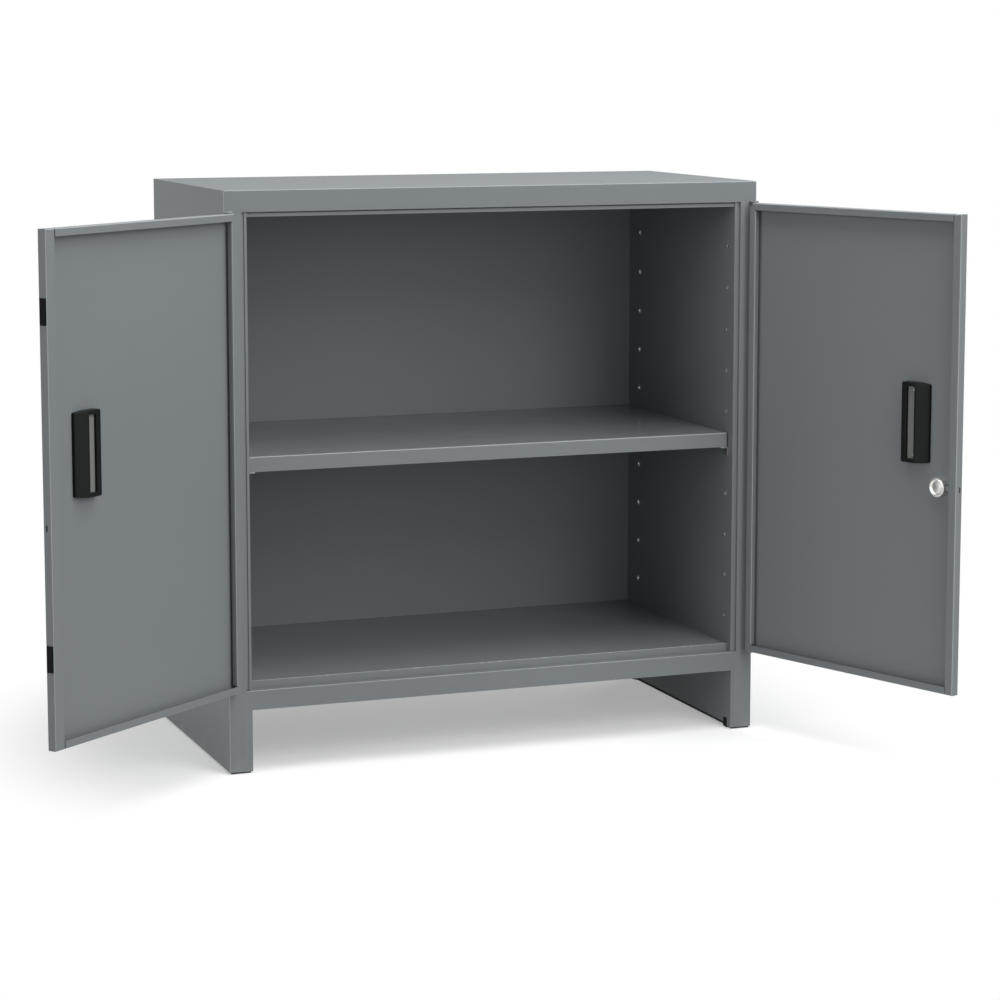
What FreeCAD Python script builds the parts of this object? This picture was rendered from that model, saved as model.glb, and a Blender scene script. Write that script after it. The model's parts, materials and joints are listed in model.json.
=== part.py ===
import FreeCAD, Part

import os
import re

import Sketcher

# Tool cabinet of folded sheet steel, 986 wide, 480 deep and 1000 high, with two doors that
# stand open, one loose shelf and a key lock. X is to the right, Y to the back, Z up.
# The origin lies on the floor, in the middle of the footprint. Millimetres and degrees.

DIMENSIONS = {
    # carcass
    "cabinet_width": 986.0,
    "cabinet_depth": 480.0,
    "cabinet_height": 1000.0,
    "gauge": 1.5,
    "bend_radius": 2.0,
    "glide_height": 3.0,
    # posts: outer flange, dark groove and bright inner strip
    "post_width": 41.0,
    "post_flange": 31.0,
    "post_strip": 4.4,
    "strip_setback": 3.0,
    "groove_depth": 5.0,
    "rear_flange": 30.0,
    "liner_flange": 20.0,
    "liner_low": 8.0,
    "leg_return": 15.0,
    # front rail, top band and header strip
    "rail_low": 110.0,
    "rail_high": 144.0,
    "rail_return": 14.0,
    "band_low": 963.0,
    "band_return": 15.0,
    "header_low": 954.5,
    "header_hem": 6.0,
    "header_setback": 6.0,
    "header_flange": 7.0,
    "top_rear_flange": 20.0,
    "top_side_flange": 22.0,
    # floor tray
    "floor_high": 156.0,
    "floor_hem": 2.0,
    "floor_setback": 16.0,
    "floor_flange": 31.0,
    # hat sections
    "hat_crown": 40.0,
    "hat_flange": 15.0,
    "floor_hat_height": 25.0,
    "shelf_hat_height": 20.0,
    "hat_length": 880.0,
    # shelf and its clips
    "shelf_high": 545.0,
    "shelf_drop": 26.5,
    "shelf_setback": 22.0,
    "shelf_rear_gap": 6.0,
    "shelf_side_gap": 2.0,
    "shelf_return": 14.0,
    "shelf_hem": 9.5,
    "hole_radius": 4.75,
    "hole_first": 208.0,
    "hole_pitch": 75.0,
    "hole_count": 10,
    "hole_front": 30.0,
    "hole_rear": 55.0,
    "clip_width": 18.0,
    "clip_reach": 15.0,
    "clip_neck": 8.0,
    # glides
    "glide_length": 35.0,
    "glide_edge": 3.0,
    "riser_length": 15.4,
    "riser_height": 17.0,
    # doors
    "door_width": 488.5,
    "door_low": 147.0,
    "door_high": 962.0,
    "door_thickness": 16.5,
    "door_standoff": 2.5,
    "door_side_gap": 3.0,
    "door_rim": 12.5,
    "left_free_rim": 20.5,
    "right_free_rim": 15.5,
    "left_slit": 2.5,
    "right_slit": 1.2,
    "relief_width": 8.0,
    "relief_height": 6.0,
    "relief_depth": 5.5,
    "left_open_angle": 142.0,
    "right_open_angle": 110.0,
    # pivots
    "axis_inset": 7.5,
    "axis_front": 14.0,
    "pin_radius": 2.5,
    "pin_clearance": 0.05,
    "pin_room": 0.4,
    "pin_reach": 2.0,
    "head_radius": 3.8,
    "head_height": 1.0,
    "bracket_radius": 5.0,
    "bracket_root": 7.5,
    "bracket_gauge": 2.0,
    "bracket_gap": 0.6,
    "plate_reach": 17.0,
    "plate_depth": 9.0,
    "plate_gauge": 3.0,
    # handles
    "handle_inset": 100.5,
    "handle_level": 604.5,
    "shell_hinge_reach": 23.5,
    "shell_free_reach": 30.5,
    "shell_length": 138.0,
    "shell_wall": 2.0,
    "shell_bevel": 1.2,
    "shell_foot": 6.0,
    "slot_width": 25.0,
    "slot_length": 124.0,
    "strip_depth": 5.0,
    "bezel_width": 56.0,
    "bezel_length": 148.0,
    "bezel_height": 2.0,
    "bezel_corner": 6.0,
    "grip_width": 36.0,
    "grip_length": 126.0,
    "cutout_width": 44.0,
    "cutout_length": 134.0,
    "screw_level": 56.0,
    "screw_head": 2.4,
    "screw_shank": 1.5,
    "screw_height": 1.4,
    # lock
    "lock_inset": 46.0,
    "lock_level": 499.0,
    "case_radius": 16.5,
    "case_wall": 1.5,
    "case_height": 13.5,
    "case_room": 6.6,
    "plug_radius": 5.5,
    "plug_clearance": 0.05,
    "barrel_radius": 9.0,
    "escutcheon_radius": 12.0,
    "crank_radius": 9.0,
    "crank_throw": 7.071,
    "crank_pin": 1.5,
    "bolt_height": 9.0,
    "bolt_gauge": 2.5,
    "bolt_setback": 3.0,
    "bolt_play": 0.4,
    # buffers
    "buffer_width": 13.0,
    "buffer_proud": 1.5,
    "buffer_length": 42.5,
    "buffer_stem": 6.0,
    "buffer_low": 293.0,
    "buffer_high": 835.0,
}

LEFT, RIGHT = 1, -1
UP, DOWN = 1, -1

# Places on a door, seen from its hinge axis: along the door, and from outside to inside
HINGE_EDGE = "(door_side_gap - axis_inset)"
FREE_EDGE = "(door_side_gap - axis_inset + door_width)"
RIM = "(axis_front - door_standoff)"
SKIN = "(axis_front - door_standoff - door_thickness)"
SKIN_INSIDE = "(axis_front - door_standoff - door_thickness + gauge)"
HANDLE = "(door_side_gap - axis_inset + door_width - handle_inset)"
GRIP = "(door_side_gap - axis_inset + door_width - handle_inset + shell_free_reach/2 - shell_hinge_reach/2)"
LOCK = "(door_side_gap - axis_inset + door_width - lock_inset)"

doc = FreeCAD.newDocument("ToolCabinet")
sheet = doc.addObject("Spreadsheet::Sheet", "Dimensions")
for row, (alias, value) in enumerate(DIMENSIONS.items(), 1):
    sheet.set(f"A{row}", alias)
    sheet.set(f"B{row}", str(value))
    sheet.setAlias(f"B{row}", alias)
doc.recompute()

nodes = []
cuts = []


def bound(text):
    """The expression with each named dimension read from the sheet."""
    return re.sub(
        r"[a-z][a-z_]+",
        lambda word: f"Dimensions.{word.group(0)}" if word.group(0) in DIMENSIONS else word.group(0),
        text,
    )


def size(alias):
    """The number that a cell of the sheet holds."""
    return float(sheet.get(alias))


def new_body(label, x="0", y="0", z="0", angle=None):
    """A body that becomes one node, placed at x, y, z and turned about the upright axis."""
    body = doc.addObject("PartDesign::Body", label)
    body.Label = label
    body.AllowCompound = True
    for letter, place in (("x", x), ("y", y), ("z", z)):
        body.setExpression(f"Placement.Base.{letter}", bound(place))
    if angle:
        body.Placement = FreeCAD.Placement(FreeCAD.Vector(), FreeCAD.Rotation(FreeCAD.Vector(0, 0, 1), 1))
        body.setExpression("Placement.Rotation.Angle", bound(f"({angle}) * 1 deg"))
    nodes.append(body)
    return body


def new_sketch(body, plane, start):
    """A sketch on one of the body's own planes, moved along the axis across it to start."""
    sketch = body.newObject("Sketcher::SketchObject", "Sketch")
    support = [item for item in body.Origin.OriginFeatures if item.Role == f"{plane}_Plane"][0]
    sketch.AttachmentSupport = [(support, "")]
    sketch.MapMode = "FlatFace"
    sign = "-" if plane == "XZ" else ""
    sketch.setExpression("AttachmentOffset.Base.z", bound(f"{sign}({start})"))
    return sketch


def place_point(sketch, geometry, vertex, x, y):
    """Ties a point of the sketch to its two distances from the sketch's origin."""
    for kind, distance in (("DistanceX", x), ("DistanceY", y)):
        number = sketch.addConstraint(Sketcher.Constraint(kind, -1, 1, geometry, vertex, 1.0))
        sketch.setExpression(f"Constraints[{number}]", bound(distance))


def draw_outline(sketch, points):
    """A closed outline of straight lines through the points."""
    first = sketch.GeometryCount
    count = len(points)
    for index in range(count):
        start = FreeCAD.Vector(index, index * index, 0)
        end = FreeCAD.Vector(index + 1, (index + 1) ** 2 + 1, 0)
        sketch.addGeometry(Part.LineSegment(start, end), False)
    for index in range(count):
        following = first + (index + 1) % count
        sketch.addConstraint(Sketcher.Constraint("Coincident", first + index, 2, following, 1))
    for index, (x, y) in enumerate(points):
        place_point(sketch, first + index, 1, x, y)


def draw_circle(sketch, x, y, radius):
    """A circle about a point of the sketch."""
    number = sketch.addGeometry(Part.Circle(FreeCAD.Vector(1, 1, 0), FreeCAD.Vector(0, 0, 1), 1), False)
    place_point(sketch, number, 3, x, y)
    rule = sketch.addConstraint(Sketcher.Constraint("Radius", number, 1.0))
    sketch.setExpression(f"Constraints[{rule}]", bound(radius))


def extrude(body, kind, sketch, plane, length):
    """Adds or cuts the sketch's outline, from its plane towards the positive axis."""
    feature = body.newObject(f"PartDesign::{kind}", kind)
    feature.Profile = sketch
    feature.Reversed = (kind == "Pad") == (plane == "XZ")
    feature.setExpression("Length", bound(length))
    sketch.Visibility = False
    if kind == "Pocket":
        cuts.append(feature)
    return feature


def add(body, plane, outlines, start, length):
    """Pads one or more outlines."""
    sketch = new_sketch(body, plane, start)
    for outline in outlines:
        draw_outline(sketch, outline)
    return extrude(body, "Pad", sketch, plane, length)


def cut(body, plane, outlines, start, length):
    """Cuts one or more outlines."""
    sketch = new_sketch(body, plane, start)
    for outline in outlines:
        draw_outline(sketch, outline)
    return extrude(body, "Pocket", sketch, plane, length)


def add_round(body, plane, circles, start, length):
    """Pads circles, each given by its centre and radius."""
    sketch = new_sketch(body, plane, start)
    for circle in circles:
        draw_circle(sketch, *circle)
    return extrude(body, "Pad", sketch, plane, length)


def cut_round(body, plane, circles, start, length):
    """Cuts circles, each given by its centre and radius."""
    sketch = new_sketch(body, plane, start)
    for circle in circles:
        draw_circle(sketch, *circle)
    return extrude(body, "Pocket", sketch, plane, length)


def rectangle(x_low, x_high, y_low, y_high, side=LEFT):
    """The four corners of a rectangle, mirrored across the sketch's upright axis for the right side."""
    return [
        (f"{side}*({x_low})", y_low),
        (f"{side}*({x_high})", y_low),
        (f"{side}*({x_high})", y_high),
        (f"{side}*({x_low})", y_high),
    ]


def mirrored(points, side):
    """An outline drawn for the left side, or its mirror image for the right."""
    return [(f"{side}*({x})", y) for x, y in points]


def dress(body, kind, wanted, property_name, amount):
    """Rounds or bevels the edges of the body whose ends all pass the test."""
    doc.recompute()
    base = body.Tip
    names = [
        f"Edge{number}"
        for number, edge in enumerate(base.Shape.Edges, 1)
        if all(wanted(vertex.Point, edge) for vertex in edge.Vertexes)
    ]
    if not names:
        raise RuntimeError(f"no edge of {body.Label} passes the test")
    feature = body.newObject(f"PartDesign::{kind}", kind)
    feature.Base = (base, names)
    feature.setExpression(property_name, bound(amount))
    return feature


def round_edges(body, wanted, radius="bend_radius"):
    """Rounds the edges that pass the test."""
    return dress(body, "Fillet", wanted, "Radius", radius)


def bevel_edges(body, wanted, amount):
    """Bevels the edges that pass the test."""
    return dress(body, "Chamfer", wanted, "Size", amount)


def near(value, target):
    """True where two lengths agree."""
    return abs(value - target) < 1e-4


def runs_along(edge, letter):
    """True for a straight edge along the axis of that letter."""
    ends = [vertex.Point for vertex in edge.Vertexes]
    across = [other for other in "xyz" if other != letter]
    return len(ends) == 2 and all(near(getattr(ends[0], other), getattr(ends[1], other)) for other in across)


# Outer side panels
def side_panel(label, side):
    """A bent sheet: skin, front flange with its return, rear flange and foot flange."""
    body = new_body(label, f"{-side}*cabinet_width/2", "-cabinet_depth/2")
    section = [
        ("0", "0"),
        ("post_flange", "0"),
        ("post_flange", "groove_depth"),
        ("post_flange - gauge", "groove_depth"),
        ("post_flange - gauge", "gauge"),
        ("gauge", "gauge"),
        ("gauge", "cabinet_depth - gauge"),
        ("rear_flange", "cabinet_depth - gauge"),
        ("rear_flange", "cabinet_depth"),
        ("0", "cabinet_depth"),
    ]
    add(body, "XY", [mirrored(section, side)], "glide_height", "cabinet_height - gauge - glide_height")
    bends = [(0.0, 0.0), (0.0, size("cabinet_depth"))]
    round_edges(
        body,
        lambda point, edge: runs_along(edge, "z")
        and any(near(abs(point.x), x) and near(point.y, y) for x, y in bends),
    )
    foot = rectangle("gauge", "post_width - gauge", "gauge", "cabinet_depth - gauge", side)
    add(body, "XY", [foot], "glide_height", "gauge")
    behind_band = rectangle("gauge", "post_flange + gauge", "-gauge", "groove_depth + gauge", side)
    cut(body, "XY", [behind_band], "band_low", "cabinet_height - band_low")
    behind_top = rectangle("gauge", "rear_flange + gauge", "cabinet_depth - gauge", "cabinet_depth + gauge", side)
    cut(body, "XY", [behind_top], "cabinet_height - top_rear_flange", "top_rear_flange")
    return body


# Inner side panels with the shelf holes
def liner(label, side):
    """A sheet whose front edge is folded into the bright strip, tied to the outer panel in the groove."""
    body = new_body(label, f"{-side}*cabinet_width/2", "-cabinet_depth/2")
    back = "cabinet_depth - 2*gauge"
    section = [
        ("post_width - post_strip", "strip_setback"),
        ("post_width", "strip_setback"),
        ("post_width", back),
        ("post_width - liner_flange", back),
        ("post_width - liner_flange", f"{back} - gauge"),
        ("post_width - gauge", f"{back} - gauge"),
        ("post_width - gauge", "strip_setback + gauge"),
        ("post_width - post_strip + gauge", "strip_setback + gauge"),
        ("post_width - post_strip + gauge", "groove_depth + gauge"),
        ("post_flange - gauge", "groove_depth + gauge"),
        ("post_flange - gauge", "groove_depth"),
        ("post_width - post_strip", "groove_depth"),
    ]
    add(body, "XY", [mirrored(section, side)], "liner_low", "cabinet_height - gauge - liner_low")
    front = rectangle("post_flange - 2*gauge", "post_width + gauge", "-gauge", "leg_return", side)
    cut(body, "XY", [front], "0", "rail_high")
    cut(body, "XY", [front], "band_low", "cabinet_height - band_low")
    notch = [
        rectangle("post_width - 2*gauge", "post_width + gauge", low, high, side)
        for low, high in (
            ("leg_return - gauge", "2*leg_return + 1"),
            ("cabinet_depth - 2*leg_return - 1", "cabinet_depth - leg_return"),
        )
    ]
    cut(body, "XY", notch, "0", "riser_height + 1")
    sketch = new_sketch(body, "YZ", f"{side}*post_width - gauge")
    for column in ("hole_front", "cabinet_depth - hole_rear"):
        draw_circle(sketch, column, "hole_first", "hole_radius")
    holes = extrude(body, "Pocket", sketch, "YZ", "2*gauge")
    pattern = body.newObject("PartDesign::LinearPattern", "ShelfHoles")
    pattern.Originals = [holes]
    pattern.Direction = (sketch, ["V_Axis"])
    pattern.setExpression("Length", bound("hole_pitch*(hole_count - 1)"))
    pattern.setExpression("Occurrences", bound("hole_count"))
    body.Tip = pattern
    return body


# Front rail with the trims that close the legs
def front_rail():
    """A plate shaped like a low gate, with returns along the rail and inside the legs."""
    body = new_body("front_rail", "0", "-cabinet_depth/2")
    outer = "(cabinet_width/2 - post_flange)"
    inner = "(cabinet_width/2 - post_width)"
    gate = [
        (f"-{outer}", "glide_height"),
        (f"-{inner}", "glide_height"),
        (f"-{inner}", "rail_low"),
        (inner, "rail_low"),
        (inner, "glide_height"),
        (outer, "glide_height"),
        (outer, "rail_high"),
        (f"-{outer}", "rail_high"),
    ]
    add(body, "XZ", [gate], "0", "gauge")
    channel = [
        ("0", "rail_low"),
        ("floor_setback", "rail_low"),
        ("floor_setback", "rail_low + gauge"),
        ("gauge", "rail_low + gauge"),
        ("gauge", "rail_high - gauge"),
        ("rail_return", "rail_high - gauge"),
        ("rail_return", "rail_high"),
        ("0", "rail_high"),
    ]
    add(body, "YZ", [channel], f"-{inner}", f"2*{inner}")
    round_edges(
        body,
        lambda point, edge: runs_along(edge, "x") and near(point.y, 0) and near(point.z, size("rail_high")),
        "gauge*0.9",
    )
    returns = [rectangle(inner, f"{inner} + gauge", "0", "leg_return", side) for side in (LEFT, RIGHT)]
    add(body, "XY", returns, "glide_height", "rail_low + gauge - glide_height")
    return body


# Top panel
def top_panel():
    """A tray turned down at the front into the deep band, and at the back and sides."""
    body = new_body("top_panel", "0", "-cabinet_depth/2")
    section = [
        ("0", "band_low"),
        ("band_return", "band_low"),
        ("band_return", "band_low + gauge"),
        ("gauge", "band_low + gauge"),
        ("gauge", "cabinet_height - gauge"),
        ("cabinet_depth - gauge", "cabinet_height - gauge"),
        ("cabinet_depth - gauge", "cabinet_height - top_rear_flange"),
        ("cabinet_depth", "cabinet_height - top_rear_flange"),
        ("cabinet_depth", "cabinet_height"),
        ("0", "cabinet_height"),
    ]
    half = "(cabinet_width/2 - gauge)"
    add(body, "YZ", [section], f"-{half}", f"2*{half}")
    bends = [(0.0, size("cabinet_height")), (size("cabinet_depth"), size("cabinet_height"))]
    round_edges(
        body,
        lambda point, edge: runs_along(edge, "x")
        and any(near(point.y, y) and near(point.z, z) for y, z in bends),
    )
    plate = rectangle("-cabinet_width/2", "cabinet_width/2", "bend_radius", "cabinet_depth - bend_radius")
    add(body, "XY", [plate], "cabinet_height - gauge", "gauge")
    edge_line = size("cabinet_width") / 2
    round_edges(
        body,
        lambda point, edge: runs_along(edge, "y")
        and near(abs(point.x), edge_line)
        and near(point.z, size("cabinet_height")),
        "gauge*0.8",
    )
    flanges = [
        rectangle(f"{half} - gauge", half, "rear_flange", "cabinet_depth - rear_flange", side)
        for side in (LEFT, RIGHT)
    ]
    add(body, "XY", flanges, "cabinet_height - top_side_flange", "top_side_flange - gauge")
    return body


# Strip under the band
def header_strip():
    """A small bent strip that closes the top of the door groove."""
    body = new_body("header_strip", "0", "-cabinet_depth/2")
    rear = "band_return"
    section = [
        ("header_setback", "header_low"),
        (rear, "header_low"),
        (rear, "band_low"),
        (f"{rear} - header_flange", "band_low"),
        (f"{rear} - header_flange", "band_low - gauge"),
        (f"{rear} - gauge", "band_low - gauge"),
        (f"{rear} - gauge", "header_low + gauge"),
        ("header_setback + gauge", "header_low + gauge"),
        ("header_setback + gauge", "header_low + header_hem"),
        ("header_setback", "header_low + header_hem"),
    ]
    half = "(cabinet_width/2 - post_width)"
    add(body, "YZ", [section], f"-{half}", f"2*{half}")
    return body


# Back sheet
def back_panel():
    """A flat sheet with a return along its lower edge."""
    body = new_body("back_panel", "0", "-cabinet_depth/2")
    half = "(cabinet_width/2 - gauge)"
    sheet_outline = rectangle(f"-{half}", half, "rail_low", "cabinet_height - gauge")
    add(body, "XZ", [sheet_outline], "cabinet_depth - 2*gauge", "gauge")
    inner = "(cabinet_width/2 - post_width - gauge)"
    lower_return = rectangle("cabinet_depth - leg_return - gauge", "cabinet_depth - gauge", "rail_low", "rail_low + gauge")
    add(body, "YZ", [lower_return], f"-{inner}", f"2*{inner}")
    return body


# Floor tray
def floor_panel():
    """The floor, with its raised front lip and its down-turned edges."""
    body = new_body("floor_panel", "0", "-cabinet_depth/2")
    back = "(cabinet_depth - 2*gauge)"
    under = "floor_high - gauge"
    section = [
        ("floor_setback", "rail_low"),
        ("2*floor_setback", "rail_low"),
        ("2*floor_setback", "rail_low + gauge"),
        ("floor_setback + gauge", "rail_low + gauge"),
        ("floor_setback + gauge", under),
        (f"{back} - gauge", under),
        (f"{back} - gauge", "floor_high - floor_flange"),
        (back, "floor_high - floor_flange"),
        (back, "floor_high"),
        ("floor_setback + 2*gauge", "floor_high"),
        ("floor_setback + 2*gauge", "floor_high + floor_hem"),
        ("floor_setback", "floor_high + floor_hem"),
    ]
    half = "(cabinet_width/2 - post_width)"
    add(body, "YZ", [section], f"-{half}", f"2*{half}")
    flanges = [
        rectangle(f"{half} - gauge", half, "2*floor_setback + gauge", f"{back} - floor_flange", side)
        for side in (LEFT, RIGHT)
    ]
    add(body, "XY", flanges, "floor_high - floor_flange", "floor_flange - gauge")
    return body


def hat_section(middle, top, height):
    """The outline of a hat section that hangs from a sheet, about its middle line."""
    wide = "hat_crown/2"
    brim = "(hat_crown/2 + hat_flange)"
    return [
        (f"{middle} - {brim}", top),
        (f"{middle} - {wide} + gauge", top),
        (f"{middle} - {wide} + gauge", f"{top} - {height} + gauge"),
        (f"{middle} + {wide} - gauge", f"{top} - {height} + gauge"),
        (f"{middle} + {wide} - gauge", top),
        (f"{middle} + {brim}", top),
        (f"{middle} + {brim}", f"{top} - gauge"),
        (f"{middle} + {wide}", f"{top} - gauge"),
        (f"{middle} + {wide}", f"{top} - {height}"),
        (f"{middle} - {wide}", f"{top} - {height}"),
        (f"{middle} - {wide}", f"{top} - gauge"),
        (f"{middle} - {brim}", f"{top} - gauge"),
    ]


# Hat sections under the floor and the shelf
def stiffeners(label, middles, top, height):
    """One or more hat sections across the cabinet."""
    body = new_body(label, "0", "-cabinet_depth/2")
    outlines = [hat_section(middle, top, height) for middle in middles]
    add(body, "YZ", outlines, "-hat_length/2", "hat_length")
    return body


# Shelf
def shelf():
    """A tray turned down all round, with a hem along its front and back."""
    body = new_body("shelf", "0", "-cabinet_depth/2")
    front = "shelf_setback"
    back = "(cabinet_depth - shelf_rear_gap)"
    low = "(shelf_high - shelf_drop)"
    section = [
        (front, low),
        (f"{front} + shelf_return", low),
        (f"{front} + shelf_return", f"{low} + shelf_hem"),
        (f"{front} + shelf_return - gauge", f"{low} + shelf_hem"),
        (f"{front} + shelf_return - gauge", f"{low} + gauge"),
        (f"{front} + gauge", f"{low} + gauge"),
        (f"{front} + gauge", "shelf_high - gauge"),
        (f"{back} - gauge", "shelf_high - gauge"),
        (f"{back} - gauge", f"{low} + gauge"),
        (f"{back} - shelf_return + gauge", f"{low} + gauge"),
        (f"{back} - shelf_return + gauge", f"{low} + shelf_hem"),
        (f"{back} - shelf_return", f"{low} + shelf_hem"),
        (f"{back} - shelf_return", low),
        (back, low),
        (back, "shelf_high"),
        (front, "shelf_high"),
    ]
    half = "(cabinet_width/2 - post_width - shelf_side_gap)"
    add(body, "YZ", [section], f"-{half}", f"2*{half}")
    ends = (size("shelf_setback"), size("cabinet_depth") - size("shelf_rear_gap"))
    round_edges(
        body,
        lambda point, edge: runs_along(edge, "x") and any(near(point.y, end) for end in ends),
    )
    flanges = [
        rectangle(
            f"{half} - gauge", half, f"{front} + shelf_return + gauge", f"{back} - shelf_return - gauge", side
        )
        for side in (LEFT, RIGHT)
    ]
    add(body, "XY", flanges, low, "shelf_drop - gauge")
    return body


# Clips that carry the shelf
def shelf_clips():
    """Four bent clips: a ledge under the shelf and a hook through a hole of the liner."""
    body = new_body("shelf_clips", "0", "-cabinet_depth/2")
    wall = "(cabinet_width/2 - post_width)"
    top = "(shelf_high - shelf_drop)"
    hole = "(hole_first + 4*hole_pitch)"
    ledge = [
        (f"-({wall})", f"{hole} - 5"),
        (f"-({wall} - gauge)", f"{hole} - 5"),
        (f"-({wall} - gauge)", f"{top} - gauge"),
        (f"-({wall} - clip_reach)", f"{top} - gauge"),
        (f"-({wall} - clip_reach)", top),
        (f"-({wall})", top),
    ]
    hook = [
        (f"-({wall})", f"{hole} + 2"),
        (f"-({wall} + 2.4*gauge)", f"{hole} + 2"),
        (f"-({wall} + 2.4*gauge)", f"{hole} - 11"),
        (f"-({wall} + 1.3*gauge)", f"{hole} - 11"),
        (f"-({wall} + 1.3*gauge)", f"{hole} - 2"),
        (f"-({wall})", f"{hole} - 2"),
    ]
    for column in ("hole_front", "cabinet_depth - hole_rear"):
        for outline, width in ((ledge, "clip_width"), (hook, "clip_neck")):
            both = [mirrored(outline, side) for side in (LEFT, RIGHT)]
            add(body, "XZ", both, f"{column} - {width}/2", width)
    return body


# Glides under the legs
def feet():
    """Four black glides: a pad under the leg and a riser that shows beside the liner."""
    body = new_body("feet", "0", "-cabinet_depth/2")
    outer = "cabinet_width/2"
    riser = [
        (f"-({outer} - glide_edge)", "0"),
        (f"-({outer} - post_width)", "0"),
        (f"-({outer} - post_width)", "riser_height"),
        (f"-({outer} - post_width + 10)", "riser_height"),
        (f"-({outer} - post_width + 10)", "glide_height + gauge"),
        (f"-({outer} - post_width + gauge)", "glide_height + gauge"),
        (f"-({outer} - post_width + gauge)", "glide_height"),
        (f"-({outer} - glide_edge)", "glide_height"),
    ]
    both = [mirrored(riser, side) for side in (LEFT, RIGHT)]
    front = "(leg_return + 0.3)"
    add(body, "XZ", both, front, "riser_length")
    add(body, "XZ", both, f"cabinet_depth - {front} - riser_length", "riser_length")
    pads = [
        rectangle(f"{outer} - glide_edge - glide_length", f"{outer} - glide_edge", low, high, side)
        for side in (LEFT, RIGHT)
        for low, high in (
            ("glide_edge", "glide_edge + glide_length"),
            ("cabinet_depth - glide_edge - glide_length", "cabinet_depth - glide_edge"),
        )
    ]
    add(body, "XY", pads, "0", "glide_height")
    return body


# Corner pivots: a bracket and a pin on the carcass, and a plate with the bearing hole in the door
def on_axis(label, side, level, turning=False):
    """A body whose origin is on a door's axis, turned with the door where it belongs to it."""
    angle = None
    if turning:
        angle = "-left_open_angle" if side == LEFT else "right_open_angle"
    x = f"{-side}*(cabinet_width/2 - axis_inset)"
    return new_body(label, x, "-cabinet_depth/2 - axis_front", level, angle)


def door_end(end):
    """The level of a door's upper or lower edge."""
    return "door_high" if end == UP else "door_low"


def span(end, near_end, far_end):
    """The start and the length of a pad between two distances beyond a door's upper or lower edge."""
    start = f"({near_end})" if end == UP else f"-({far_end})"
    return start, f"({far_end}) - ({near_end})"


def pivot_bracket(label, side, end):
    """A tab that stands out of the post, beyond the door's edge, and holds the pin."""
    body = on_axis(label, side, door_end(end))
    start, length = span(end, "bracket_gap", "bracket_gap + bracket_gauge")
    tab = [
        ("-bracket_root", "axis_front"),
        ("-bracket_radius", "0"),
        ("bracket_radius", "0"),
        ("bracket_root", "axis_front"),
    ]
    add(body, "XY", [mirrored(tab, side)], start, length)
    add_round(body, "XY", [("0", "0", "bracket_radius")], start, length)
    cut_round(body, "XY", [("0", "0", "pin_radius")], start, length)
    return body


def pivot_pin(label, side, end):
    """The pin, fast in the bracket, which ends just inside the door's plate."""
    body = on_axis(label, side, door_end(end))
    bracket = "bracket_gap + bracket_gauge"
    start, length = span(end, "-(gauge + plate_gauge + pin_reach)", bracket)
    add_round(body, "XY", [("0", "0", "pin_radius")], start, length)
    start, length = span(end, bracket, f"{bracket} + head_height")
    add_round(body, "XY", [("0", "0", "head_radius")], start, length)
    if end == DOWN:
        start, length = span(end, "pin_clearance", "bracket_gap")
        add_round(body, "XY", [("0", "0", "head_radius")], start, length)
    return body


def pivot_plate(label, side, end):
    """The thick plate in the corner of the door's pan, with the hole that turns on the pin."""
    body = on_axis(label, side, door_end(end), turning=True)
    start, length = span(end, "-(gauge + plate_gauge)", "-gauge")
    inner = f"({HINGE_EDGE} + gauge)"
    plate = rectangle(inner, f"{inner} + plate_reach", SKIN_INSIDE, f"{SKIN_INSIDE} + plate_depth", side)
    add(body, "XY", [plate], start, length)
    cut_round(body, "XY", [("0", "0", "pin_radius + pin_clearance")], start, length)
    return body


# Door pans
def door_panel(label, side, free_rim, slit):
    """A sheet folded into a pan: skin, four walls and a rim all round, relieved at the corners."""
    body = on_axis(label, side, "0", turning=True)
    whole = rectangle(HINGE_EDGE, FREE_EDGE, "door_low", "door_high", side)
    add(body, "XZ", [whole], SKIN, "door_thickness")
    faces = (
        size("axis_front") - size("door_standoff"),
        size("axis_front") - size("door_standoff") - size("door_thickness"),
    )
    round_edges(
        body,
        lambda point, edge: not runs_along(edge, "y") and any(near(point.y, face) for face in faces),
    )
    inside = rectangle(
        f"{HINGE_EDGE} + gauge", f"{FREE_EDGE} - gauge", "door_low + gauge", "door_high - gauge", side
    )
    cut(body, "XZ", [inside], SKIN_INSIDE, "door_thickness - 2*gauge")
    window = rectangle(
        f"{HINGE_EDGE} + door_rim", f"{FREE_EDGE} - {free_rim}", "door_low + door_rim", "door_high - door_rim", side
    )
    cut(body, "XZ", [window], f"{RIM} - gauge", "gauge")
    start = f"{FREE_EDGE} - {free_rim} - {slit}"
    slits = [
        rectangle(start, f"{start} + {slit}", "door_low", "door_low + door_rim", side),
        rectangle(start, f"{start} + {slit}", "door_high - door_rim", "door_high", side),
    ]
    cut(body, "XZ", slits, f"{RIM} - gauge", "gauge")
    relief = rectangle(
        HINGE_EDGE, f"{HINGE_EDGE} + relief_width", "door_high - relief_height", "door_high", side
    )
    cut(body, "XZ", [relief], f"{RIM} - relief_depth", "relief_depth")
    for end in (UP, DOWN):
        start = "door_high - gauge" if end == UP else "door_low"
        cut_round(body, "XY", [("0", "0", "pin_radius + pin_room")], start, "gauge")
    opening = rectangle(
        f"{GRIP} - cutout_width/2",
        f"{GRIP} + cutout_width/2",
        "handle_level - cutout_length/2",
        "handle_level + cutout_length/2",
        side,
    )
    cut(body, "XZ", [opening], SKIN, "gauge")
    return body


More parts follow.
